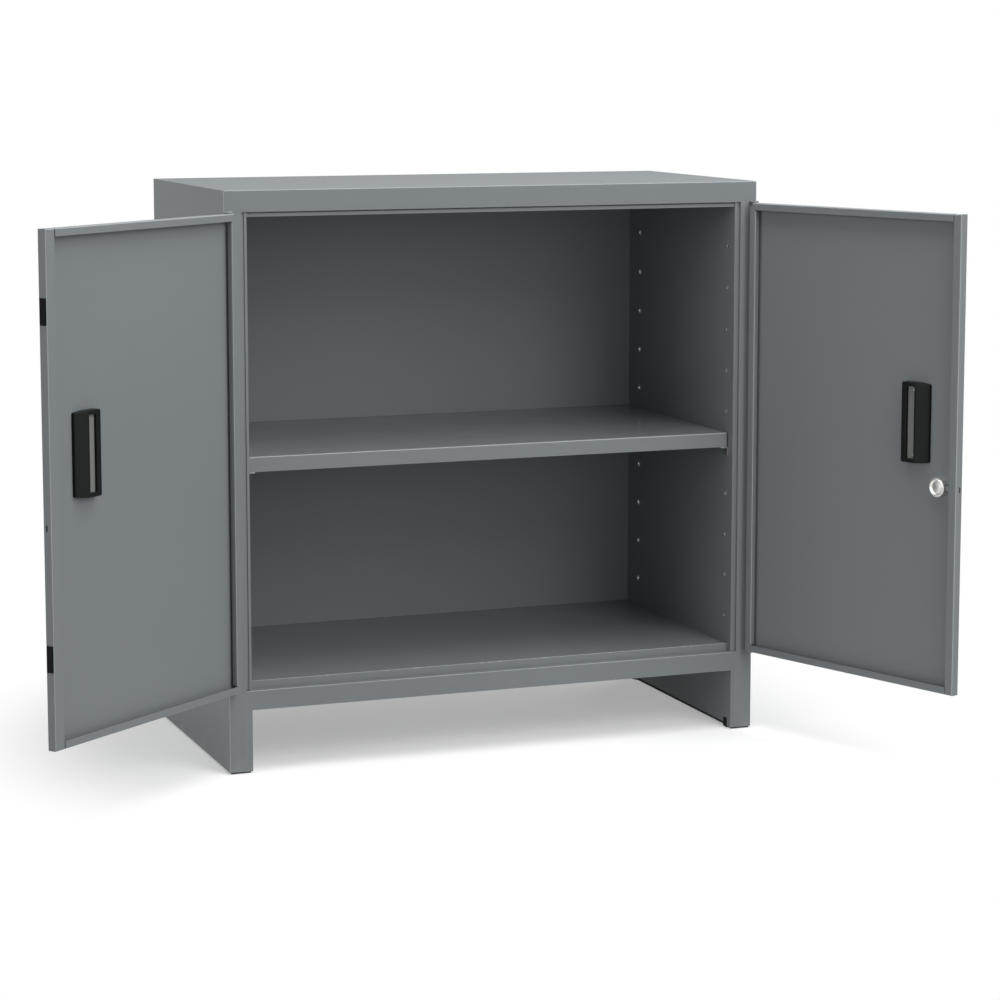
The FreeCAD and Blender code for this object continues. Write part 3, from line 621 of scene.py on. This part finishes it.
@dataclass(frozen=True)
class BareMetal:
    """Plated or machined metal with fine lines and soft mottling.

    Args:
        name: The material's name.
        colour: Its linear colour.
        roughness: Mean roughness.
        mottle: Strength of the hammered look.
        scratch: How deep the lines are beside the dents.
        lines: Noise of the fine lines.
        dents: Noise of the hammered look.
        spots: Noise in the colour.
        duller: How much darker than the colour the dull spots are.
        spread: How far the lines change the roughness.
        relief: Strength of the dents and lines and their depth in metres.
    """

    name: str
    colour: Colour
    roughness: float
    mottle: float = 0.1
    scratch: float = 0.04
    lines: Grain = Grain(500.0, 2.0, (1.0, 1.0, 12.0))
    dents: Grain = Grain(330.0, 1.0)
    spots: Grain = Grain(220.0, 3.0)
    duller: float = 0.85
    spread: float = 0.12
    relief: tuple[float, float] = (0.5, 0.0006)

    def build(self) -> bpy.types.Material:
        """Make the material: metal whose gloss varies along fine lines, over shallow dents."""
        shader = Shader(bpy.data.materials.new(self.name))
        lines = shader.noise(self.lines)
        spots = shader.noise(self.spots)
        height = shader.noise(self.dents) * self.mottle + lines * self.scratch
        inputs = {
            "Base Color": shader.blend(spots, shade(self.colour, self.duller), self.colour),
            "Roughness": lines.around(self.roughness, self.spread),
            "Metallic": 1.0,
            "Normal": shader.bump(height, self.relief),
        }
        return shader.finish(shader.principled(inputs))


Finish = SatinPaint | GrainedPlastic | BareMetal
GREY = (0.196, 0.214, 0.221)
# Painted highlights on the folds of square faces and of the two open doors.
SQUARE_HIGHLIGHT = Folds((0.0,))
SWUNG_HIGHLIGHT = Folds((-LEFT_DOOR.opening, RIGHT_DOOR.opening))
TRAY_CHIPS = Chips((-0.224, 0.158))
SHELF_CHIPS = Chips((-0.218, 0.545))
FINISHES = {
    Slot.CARCASS: SatinPaint("CarcassPaint", GREY, folds=SQUARE_HIGHLIGHT, chips=TRAY_CHIPS, tray=0.17),
    Slot.DOOR: SatinPaint("DoorPaint", GREY, folds=SWUNG_HIGHLIGHT),
    Slot.SHELF: SatinPaint("ShelfPaint", GREY, 0.18, folds=SQUARE_HIGHLIGHT, chips=SHELF_CHIPS),
    Slot.PLASTIC: GrainedPlastic("BlackPlastic", (0.006, 0.0065, 0.0065)),
    Slot.PLATE: SatinPaint("GreyPlate", (0.19, 0.195, 0.185), 0.5),
    Slot.RUBBER: GrainedPlastic("BlackRubber", (0.005, 0.005, 0.006), 0.7, 0.08),
    Slot.ZINC: BareMetal("ZincPlate", (0.33, 0.33, 0.32), 0.5),
    Slot.LOCK: BareMetal("LockPlate", (0.88, 0.87, 0.85), 0.34, mottle=0.5),
    Slot.STEEL: BareMetal("LockSteel", (0.2, 0.2, 0.2), 0.5),
}
# The top lies so flat to the eye that a full shine would turn it pale.
OWN_FINISHES = {"top_panel": SatinPaint("TopPaint", GREY, 0.5, 0.05, folds=SQUARE_HIGHLIGHT)}


class Wardrobe:
    """Builds each finish once and hands it out."""

    def __init__(self, frame: dict[str, Any]) -> None:
        """Read which node has which slot and which body.

        Args:
            frame: The loaded frame.
        """
        self.nodes = frame["nodes"]
        self.made: dict[Finish, bpy.types.Material] = {}
        parts = frame["record"]["subparts"]
        self.slots = {part["node"]: Slot(part["material_slot"]) for part in parts}
        bodies = frame["record"]["behaviour"]["bodies"]
        self.bodies = {node: body for body, nodes in bodies.items() for node in nodes}

    def of(self, finish: Finish) -> bpy.types.Material:
        """The material of a finish."""
        if finish not in self.made:
            self.made[finish] = finish.build()
        return self.made[finish]

    def dress(self, thing: bpy.types.Object, slot: Slot, own: Finish | None = None) -> None:
        """Give an object its own finish or its slot's, in place of any that it has."""
        thing.data.materials.clear()
        thing.data.materials.append(self.of(own or FINISHES[slot]))

    def hang(
        self, thing: bpy.types.Object, slot: Slot, body: str, own: Finish | None = None
    ) -> None:
        """Dress a new piece and let it ride on a body."""
        self.dress(thing, slot, own)
        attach(thing, body)
        log.info("made %s on %s", thing.name, body)

    def stand_in(self, thing: bpy.types.Object, node: str) -> None:
        """Let a new piece take a node's place, with its finish and on its body."""
        self.hang(thing, self.slots[node], self.bodies[node], OWN_FINISHES.get(node))
        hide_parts(node)


# Sub-assemblies


@dataclass(frozen=True)
class EdgeWork:
    """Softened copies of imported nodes, whose edges catch the light as folded or moulded ones do.

    Args:
        fold: Half the width of the bevel on sheet metal, in millimetres.
        moulded: The same on plastic and rubber.
        machined: The same on turned metal.
        segments: Number of faces across a bevel.
        crease: The angle in degrees above which two faces meet at an edge, not on a curve.
        flat: The angle in degrees below which two faces count as one.
    """

    fold: float = 0.6
    moulded: float = 0.9
    machined: float = 0.3
    segments: int = 2
    crease: float = 32.0
    flat: float = 0.4

    def width(self, slot: Slot) -> float:
        """The bevel that suits a finish, in metres."""
        if slot in (Slot.PLASTIC, Slot.RUBBER):
            return self.moulded * MM
        if slot in (Slot.ZINC, Slot.LOCK, Slot.STEEL):
            return self.machined * MM
        return self.fold * MM

    def mark(self, mesh: bpy.types.Mesh) -> None:
        """Join a node's loose triangles into flat faces and mark the edges to be rounded.

        An edge is rounded where its two faces turn away from each other by more than the crease
        angle. An inner corner stays sharp, because a neighbour may sit in it.

        Args:
            mesh: The copy of the node's mesh.
        """
        work = bmesh.new()
        work.from_mesh(mesh)
        bmesh.ops.remove_doubles(work, verts=work.verts, dist=MERGE)
        bmesh.ops.dissolve_limit(
            work,
            angle_limit=math.radians(self.flat),
            verts=work.verts,
            edges=work.edges,
            delimit={"NORMAL"},
        )
        rounded = work.edges.layers.float.new("bevel_weight_edge")
        for edge in work.edges:
            angle = math.degrees(edge.calc_face_angle_signed(0.0))
            edge[rounded] = float(angle > self.crease)
            edge.smooth = abs(angle) <= self.crease
        work.to_mesh(mesh)
        work.free()
        mesh.polygons.foreach_set("use_smooth", np.ones(len(mesh.polygons), dtype=bool))

    def soften(self, wardrobe: Wardrobe, node: str) -> None:
        """Put a copy of a node with rounded outer edges in its place.

        Args:
            wardrobe: The finishes and the nodes.
            node: The node's name.
        """
        mesh = wardrobe.nodes[node].data.copy()
        mesh.name = f"{node}_finished"
        self.mark(mesh)
        copy = link(mesh.name, mesh)
        bevel = copy.modifiers.new("Edges", "BEVEL")
        bevel.width = self.width(wardrobe.slots[node])
        bevel.segments = self.segments
        bevel.limit_method = "WEIGHT"
        flats = copy.modifiers.new("Flats", "WEIGHTED_NORMAL")
        flats.weight = 100
        flats.keep_sharp = True
        wardrobe.stand_in(copy, node)

    def build(self, wardrobe: Wardrobe, left_out: Sequence[str]) -> None:
        """Soften every node but those that a finer piece replaces."""
        for node in wardrobe.nodes:
            if node not in left_out:
                self.soften(wardrobe, node)


@dataclass(frozen=True)
class ShelfBushes:
    """Collars in the liners' shelf holes, whose front column takes a duller finish as painted
    shade.

    Args:
        columns: Name, place along Y and finish of each column. The front one's duller finish is
            painted shade.
        bore: Inner radius in millimetres.
        barrel: Outer radius, which fits the hole.
        lip: Radius of the rolled lip on the wall.
        roll: Width of the lip's rounding at each of its rims.
        proud: How far the lip stands out of the wall.
        rise: Shares of that at the bore, at its rounding and at the outer rounding.
        depth: How far the collar reaches behind the wall.
        wall: Distance of the walls from the middle.
        first: Height of the lowest hole.
        pitch: Distance from hole to hole.
        count: Holes in a column.
        taken: Number of the hole that the shelf's clip fills.
        steps: Number of angles round a collar.
    """

    columns: tuple[tuple[str, float, Slot], ...] = (
        # The front collars take the duller zinc as painted shade; the rear ones are bright plate.
        ("front", -210.0, Slot.ZINC),
        ("rear", 185.0, Slot.LOCK),
    )
    bore: float = 3.9
    barrel: float = 4.7
    lip: float = 5.2
    roll: float = 0.3
    proud: float = 0.45
    rise: tuple[float, float, float] = (0.2, 0.8, 0.7)
    depth: float = 8.0
    wall: float = 452.0
    first: float = 208.0
    pitch: float = 75.0
    count: int = 10
    taken: int = 4
    steps: int = 20

    def collar(self) -> np.ndarray:
        """One collar, from the bore's far end over the lip to the barrel's far end."""
        at_bore, inner, outer = self.rise
        profile = [
            (self.bore, -self.depth),
            (self.bore, self.proud * at_bore),
            (self.bore + self.roll, self.proud * inner),
            (self.barrel, self.proud),
            (self.lip - self.roll, self.proud * outer),
            (self.lip, 0.0),
            (self.barrel, 0.0),
            (self.barrel, -self.depth),
        ]
        return turned(profile, self.steps)

    def build(self, wardrobe: Wardrobe) -> None:
        """Repeat the collar up each column of both walls."""
        collar = self.collar()
        levels = np.delete(self.first + self.pitch * np.arange(self.count), self.taken)
        for side in Side:
            inwards = [float(side.value), 0.0, 0.0]
            axes = np.array([[0.0, 1.0, 0.0], [0.0, 0.0, 1.0], inwards])
            x = np.full(levels.size, -side.value * self.wall)
            for column, place, slot in self.columns:
                origins = np.stack((x, np.full(levels.size, place), levels), axis=-1) * MM
                points = origins[:, None, None, :] + (collar @ axes)[None]
                bushes = skin(f"{side.word}_{column}_bushes", points, closed=True)
                wardrobe.hang(bushes, slot, "carcass")


@dataclass(frozen=True)
class PullScrews:
    """Domed heads with a cross recess, at the ends of the strip in a pull's slot.

    Args:
        along: Distance of the heads from the hinge axis, in millimetres.
        middle: Height of the pull's middle.
        spread: Height of each head above or below it.
        seat: How far inwards the strip's face lies.
        radius: Radius of the head.
        dome: Height of the head.
        fall: Share of that height by which its rim lies lower.
        recess: Half width and half length of each arm of the cross, and its depth.
        ease: Widths of the slopes at the arms' sides and at their ends.
        grid: Number of radii and of angles.
    """

    along: float = 383.5
    middle: float = 604.5
    spread: float = 56.0
    seat: float = 6.5
    radius: float = 2.4
    dome: float = 1.4
    fall: float = 0.55
    recess: tuple[float, float, float] = (0.38, 1.5, 0.8)
    ease: tuple[float, float] = (0.15, 0.25)
    grid: tuple[int, int] = (15, 48)

    def head(self) -> np.ndarray:
        """One head, whose last row closes it below.

        Its height is the dome times one minus the fall times the squared share of the radius,
        less the depth of the cross.

        Returns:
            Points in metres, as rows, columns and coordinates.
        """
        radii, angles = self.grid
        share = np.concatenate((np.linspace(0.0, 1.0, radii), [1.0]))[:, None]
        angle = np.linspace(0.0, 2 * np.pi, angles, endpoint=False)[None, :]
        u = share * self.radius * np.cos(angle)
        v = share * self.radius * np.sin(angle)
        height = self.dome * (1.0 - self.fall * share**2) + 0.0 * angle
        half_width, half_length, depth = self.recess
        near, far = np.minimum(abs(u), abs(v)), np.maximum(abs(u), abs(v))
        across = np.clip((half_width - near) / self.ease[0] + 0.5, 0, 1)
        along = np.clip((half_length - far) / self.ease[1] + 0.5, 0, 1)
        height = height - depth * (across * along)
        height[-1] = 0.0
        return np.stack((u, v, height), axis=-1) * MM

    def build(self, wardrobe: Wardrobe) -> None:
        """Put two heads on each door's strip, in place of the plain ones."""
        levels = (self.middle - self.spread, self.middle + self.spread)
        for door in (LEFT_DOOR, RIGHT_DOOR):
            patches = [door.at(self.along, level, self.seat).put(self.head()) for level in levels]
            name = f"{door.side.word}_handle_screws"
            heads = skin(f"{name}_finished", np.stack(patches), closed=False)
            wardrobe.stand_in(heads, name)


@dataclass(frozen=True)
class PullShell:
    """The moulded box of a recessed pull: a slot over its strip and a slope to the free edge.

    Distances along the door are from the hinge axis, and all sizes are in millimetres.

    Args:
        sides: Where the box begins and ends along the door.
        slot: Where its slot begins and ends.
        halves: Half the height of the box and of the slot.
        corners: Corner radius of the box and of the slot.
        middle: Height of the pull's middle.
        base: How far inwards the box starts, on the door's skin.
        top: How far inwards its flat top lies.
        floor: How far inwards the slot's walls end, over the strip.
        slope: Where the slope starts, and its fall to the box's end.
        bow: Power of the slope's curve, which is one for a straight slope.
        narrowing: How much shorter each end gets down the slope.
        wall: Thickness of the wall.
        soft: Radius of the outer edges.
        ease: Share of that radius at the middle of the rounding.
        brink: Distances from the slot at which its rounded edge starts and steepens.
        sag: How far the edge has fallen where it steepens and at the slot.
        turn: Number of points on a corner's arc.
        run: Number of points between two arcs.
        span: Number of points from the outer edge to the slot.
    """

    sides: tuple[float, float] = (360.0, 414.0)
    slot: tuple[float, float] = (371.0, 388.3)
    halves: tuple[float, float] = (69.0, 62.0)
    corners: tuple[float, float] = (3.0, 1.2)
    middle: float = 604.5
    base: float = -3.45
    top: float = 11.45
    floor: float = 6.6
    slope: tuple[float, float] = (390.0, 9.0)
    bow: float = 1.2
    narrowing: float = 2.2
    wall: float = 1.5
    soft: float = 1.3
    ease: float = 0.3
    brink: tuple[float, float] = (0.5, 0.1)
    sag: tuple[float, float] = (0.15, 0.7)
    turn: int = 7
    run: int = 10
    span: int = 7

    def loop(self, ends: tuple[float, float], half: float, radius: float) -> np.ndarray:
        """A rectangle with rounded corners, as one ring of points.

        Each corner is a quarter turn about its centre, and the points of a straight run are
        spread evenly from its last point to the next corner's first.

        Args:
            ends: Its two ends along the door.
            half: Half its height.
            radius: Its corner radius.

        Returns:
            Points along the door and up, from the far upper corner on.
        """
        angle = np.linspace(0.0, np.pi / 2, self.turn)
        start = np.arange(4)[:, None] * np.pi / 2
        near, far, high = ends[0] + radius, ends[1] - radius, half - radius
        centre = np.array([[far, high], [near, high], [near, -high], [far, -high]])
        bends = np.stack((np.cos(start + angle), np.sin(start + angle)), -1)
        arcs = bends * radius + centre[:, None]
        share = np.linspace(0.0, 1.0, self.run + 2)[1:-1, None]
        last, following = arcs[:, -1:], np.roll(arcs, -1, axis=0)[:, :1]
        runs = last + (following - last) * share
        return np.concatenate((arcs, runs), axis=1).reshape(-1, 2)

    def fall(self, along: np.ndarray) -> np.ndarray:
        """Share of the way down the slope: 0 before it, 1 at the box's end."""
        start = self.slope[0]
        return np.clip((along - start) / (self.sides[1] - start), 0.0, 1.0)

    def surface(self) -> np.ndarray:
        """The wall's closed section, carried round the slot.

        Each point of the ring has a line from the outer to the slot's edge. The section goes up the
        outside, over the top to the slot, down its wall, and back along the inside one wall's
        thickness deeper. The top lies at its full height less the slope's drop, which is its whole
        fall times the share of the way down, raised to the power of the bow.

        Returns:
            Points along the door, up and inwards in metres, as rows, columns and coordinates.
        """
        outer = self.loop(self.sides, self.halves[0], self.corners[0])
        inner = self.loop(self.slot, self.halves[1], self.corners[1])
        outer[:, 1] -= np.sign(outer[:, 1]) * self.narrowing * self.fall(outer[:, 0])
        length = np.linalg.norm(inner - outer, axis=1)
        soft, wall, span = self.soft, self.wall, self.span
        start, steep = self.brink
        share = np.linspace(0.0, 1.0, span)[:, None]
        over = soft + (length - soft - start) * share
        under = length - wall + (2 * wall - length) * share
        edge = np.zeros_like(length)
        rows = [edge, edge, edge + soft * self.ease, *over, length - steep, length]
        rows += [length, length - wall, *under, edge + wall]
        distance = np.stack(rows)
        place = outer + (inner - outer) * (distance / length)[..., None]
        drop = [0.0, soft, soft * self.ease] + [0.0] * span + [*self.sag]
        drop += [0.0, 0.0] + [wall] * span + [0.0]
        height = self.top - self.slope[1] * self.fall(place[..., 0]) ** self.bow
        height = height - np.array(drop)[:, None]
        height[[0, -1]] = self.base
        height[span + 5 : span + 7] = self.floor
        return np.concatenate((place, height[..., None]), axis=-1) * MM

    def build(self, wardrobe: Wardrobe) -> None:
        """Mould one box for each door."""
        for door in (LEFT_DOOR, RIGHT_DOOR):
            points = door.at(0.0, self.middle, 0.0).put(self.surface())
            name = f"{door.side.word}_handle_shell"
            wardrobe.stand_in(skin(f"{name}_finished", points[None], closed=True), name)


@dataclass(frozen=True)
class LockFace:
    """The turned cap of the lock, with a raised rim round a sunk disc.

    Args:
        along: Distance of the lock from the hinge axis, in millimetres.
        level: Height of the lock.
        radius: Radius of the cap, inside the case.
        base: How far inwards the cap starts.
        top: How far inwards its rim lies.
        contour: Distance in from the cap's edge and below its rim, for each point of the face.
        sunk: How far below the rim the disc's middle lies.
        steps: Number of angles.
    """

    along: float = 438.0
    level: float = 499.0
    radius: float = 15.0
    base: float = 4.2
    top: float = 10.0
    contour: tuple[tuple[float, float], ...] = (
        (0.0, 0.7),
        (0.3, 0.2),
        (0.9, 0.0),
        (2.6, 0.0),
        (3.1, 0.2),
        (3.4, 0.8),
        (3.5, 2.9),
        (4.1, 3.0),
        (4.4, 2.5),
        (5.0, 2.3),
    )
    sunk: float = 2.2
    steps: int = 72

    def build(self, wardrobe: Wardrobe) -> None:
        """Turn the cap and seat it in the case."""
        back = [(0.0, self.base), (self.radius, self.base)]
        face = [(self.radius - inset, self.top - below) for inset, below in self.contour]
        profile = [*back, *face, (0.0, self.top - self.sunk)]
        points = RIGHT_DOOR.at(self.along, self.level, 0.0).put(turned(profile, self.steps))
        wardrobe.stand_in(skin("lock_cap_finished", points[None], closed=False), "lock_cap")


@dataclass(frozen=True)
class RimReturns:
    """The inward fold that ends the lip on each door's hinge side, over a soft bend.

    Distances along the door are from the hinge axis, and all sizes are in millimetres.

    Args:
        lip: Where the door's lip ends along the door, and how far inwards its face lies.
        bend: Outer radius of the bend.
        gauge: Thickness of the sheet.
        foot: How far inwards the fold ends.
        levels: Heights of its lower and upper end.
        soft: Size of the chamfers at the foot and of the rows that keep the ends crisp.
        skim: How far the bend starts over the lip's face.
        corner: How far the inner corner lies back from the lip's end and face, in gauges.
        steps: Number of points on the bend.
    """

    lip: tuple[float, float] = (8.0, 11.5)
    bend: float = 1.8
    gauge: float = 1.5
    foot: float = 1.5
    levels: tuple[float, float] = (161.0, 948.0)
    soft: float = 0.15
    skim: float = 0.02
    corner: tuple[float, float] = (0.7, 0.3)
    steps: int = 7

    def section(self) -> np.ndarray:
        """The fold's closed section: round the bend, down to the foot and back up to the lip.

        The bend's points are its centre plus its radius times (sin a, cos a), for angles a from
        nought to a right angle.

        Returns:
            Points along the door and inwards.
        """
        edge, face = self.lip
        outer, foot, soft = edge + self.gauge, self.foot, self.soft
        angle = np.linspace(0.0, np.pi / 2, self.steps)
        centre = np.array([outer, face + self.skim]) - self.bend
        bend = centre + np.stack((np.sin(angle), np.cos(angle)), -1) * self.bend
        rest = [
            (outer, foot + soft),
            (outer - soft, foot),
            (edge + soft, foot),
            (edge, foot + soft),
            (edge, face - self.gauge),
            (edge - self.corner[0] * self.gauge, face - self.corner[1] * self.gauge),
        ]
        return np.concatenate((bend, rest))

    def build(self, wardrobe: Wardrobe) -> None:
        """Carry the section up both doors and close its ends on a point inside the sheet."""
        section = self.section()
        low, high = self.levels
        heights = np.array([low, low, low + self.soft, high - self.soft, high, high])
        grid = np.empty((len(heights), len(section), 3))
        grid[..., 0], grid[..., 2] = section.T
        grid[..., 1] = heights[:, None]
        edge, face = self.lip
        grid[[0, -1], :, 0] = edge + self.gauge / 2
        grid[[0, -1], :, 2] = face - self.gauge
        for door in (LEFT_DOOR, RIGHT_DOOR):
            points = door.at(0.0, 0.0, 0.0).put(grid * MM)
            fold = skin(f"{door.side.word}_rim_return", points[None], closed=False)
            wardrobe.hang(fold, Slot.DOOR, door.body)


# Studio


@dataclass(frozen=True)
class Floor:
    """A wide pale floor that shows white to the camera and keeps the shadow.

    Args:
        half: Half its width in metres.
        drop: How far it lies below the feet, so that no faces coincide.
        plain: Its grey for the light that it throws back at the object.
        shown: Its grey where it is seen.
        glow: Strength of the light that it gives off where it is seen.
        clear: Distances from the middle at which it starts to turn white and is white.
    """

    half: float = 30.0
    drop: float = 0.0002
    plain: float = 0.45
    shown: float = 0.78
    glow: float = 0.34
    clear: tuple[float, float] = (0.6, 0.95)

    def matt(self, shader: Shader, grey: float, glow: float = 0.0) -> Value:
        """A surface without shine, of the given grey and its own glow."""
        inputs = {
            "Base Color": (grey, grey, grey, 1.0),
            "Roughness": 1.0,
            "Specular IOR Level": 0.0,
            "Emission Color": (1.0, 1.0, 1.0, 1.0),
            "Emission Strength": glow,
        }
        return shader.principled(inputs)

    def build(self) -> None:
        """Lay the plate and give it its two looks."""
        corners = ((-1, -1), (1, -1), (1, 1), (-1, 1))
        points = [(x * self.half, y * self.half, -self.drop) for x, y in corners]
        mesh = bpy.data.meshes.new("StudioFloor")
        mesh.from_pydata(points, [], [(0, 1, 2, 3)])
        plate = link("StudioFloor", mesh)
        shader = Shader(bpy.data.materials.new("StudioFloor"))
        plain = self.matt(shader, self.plain)
        bright = self.matt(shader, self.shown, self.glow)
        white = shader.node("ShaderNodeEmission", {}, {"Strength": 1.0})
        length = {"operation": "LENGTH"}
        reach = shader.node("ShaderNodeVectorMath", length, {0: shader.place()}, 1)
        inputs = {0: reach.ramp(*self.clear), 1: bright, 2: white}
        shown = shader.node("ShaderNodeMixShader", {}, inputs)
        inputs = {0: shader.seen(), 1: plain, 2: shown}
        mesh.materials.append(shader.finish(shader.node("ShaderNodeMixShader", {}, inputs)))


@dataclass(frozen=True)
class Sky:
    """An even pale light round the scene, white where it is seen.

    Args:
        ambient: Strength of the even light on the object.
    """

    ambient: float = 0.19

    def build(self) -> None:
        """Make the world and use it."""
        shader = Shader(bpy.data.worlds.new("Studio"))
        white = {"Color": (1.0, 1.0, 1.0, 1.0), "Strength": 1.0}
        dim = shader.node("ShaderNodeBackground", {}, white | {"Strength": self.ambient})
        inputs = {0: shader.seen(), 1: dim, 2: shader.node("ShaderNodeBackground", {}, white)}
        mixed = shader.node("ShaderNodeMixShader", {}, inputs)
        bpy.context.scene.world = shader.finish(mixed)


@dataclass(frozen=True)
class Lamp:
    """A square soft box.

    Args:
        name: The lamp's name.
        place: Where it hangs, in metres.
        size: Its width.
        power: Its power in watts.
        aim: The point that it faces.
    """

    name: str
    place: tuple[float, float, float]
    size: float
    power: float
    aim: tuple[float, float, float] = (0.0, 0.0, 0.5)

    def build(self) -> None:
        """Hang the lamp."""
        data = bpy.data.lights.new(self.name, "AREA")
        data.size = self.size
        data.energy = self.power
        thing = link(self.name, data)
        thing.location = self.place
        direction = Vector(self.aim) - Vector(self.place)
        thing.rotation_euler = direction.to_track_quat("-Z", "Y").to_euler()


@dataclass(frozen=True)
class Camera:
    """The camera at the photograph's viewing angle.

    Args:
        focal: Focal length in units of the picture's width.
        eye: Its place in metres.
        turn: Heading from +Y towards +X, in radians.
        dip: Downward tilt in radians.
        shift: Vertical shift in units of the picture's width.
        sensor: Width of the sensor in millimetres.
        far: Distance in metres up to which it sees.
    """

    focal: float = 2.865
    eye: tuple[float, float, float] = (-1.758, -4.885, 1.2305)
    turn: float = 0.3621
    dip: float = 0.1315
    shift: float = -0.07
    sensor: float = 36.0
    far: float = 200.0

    def build(self) -> None:
        """Place the camera and use it."""
        data = bpy.data.cameras.new("Camera")
        data.sensor_width = self.sensor
        data.lens = self.focal * self.sensor
        data.shift_y = self.shift
        data.clip_end = self.far
        thing = link("Camera", data)
        thing.location = self.eye
        thing.rotation_euler = (math.pi / 2 - self.dip, 0.0, -self.turn)
        bpy.context.scene.camera = thing


LAMPS = (
    Lamp("Overhead", (0.3, -0.9, 3.6), 2.6, 84, aim=(0.0, -0.1, 0.4)),
    Lamp("Key", (2.2, -4.2, 2.4), 3.0, 80),
    Lamp("HighKey", (1.2, -4.2, 3.6), 2.4, 54),
    Lamp("FillFront", (-2.6, -5.0, 1.8), 2.2, 9),
    Lamp("FillLeft", (-9.0, -2.6, 2.2), 3.5, 205),
    Lamp("FillFar", (0.2, -8.0, 1.4), 3.0, 30),
    Lamp("Rear", (5.0, 4.0, 1.3), 3.0, 100),
)


def main() -> None:
    """Build the scene."""
    logging.basicConfig(level=logging.INFO)
    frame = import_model()
    wardrobe = Wardrobe(frame)
    for name, thing in frame["nodes"].items():
        wardrobe.dress(thing, wardrobe.slots[name])
    pull_parts = ("handle_screws", "handle_shell")
    finer = [f"{side.word}_{part}" for side in Side for part in pull_parts]
    EdgeWork().build(wardrobe, [*finer, "lock_cap"])
    for piece in (ShelfBushes(), PullShell(), PullScrews(), LockFace(), RimReturns()):
        piece.build(wardrobe)
    for fitting in (Floor(), Sky(), *LAMPS, Camera()):
        fitting.build()
    bpy.context.scene.view_settings.view_transform = "Standard"


if __name__ == "__main__":
    main()
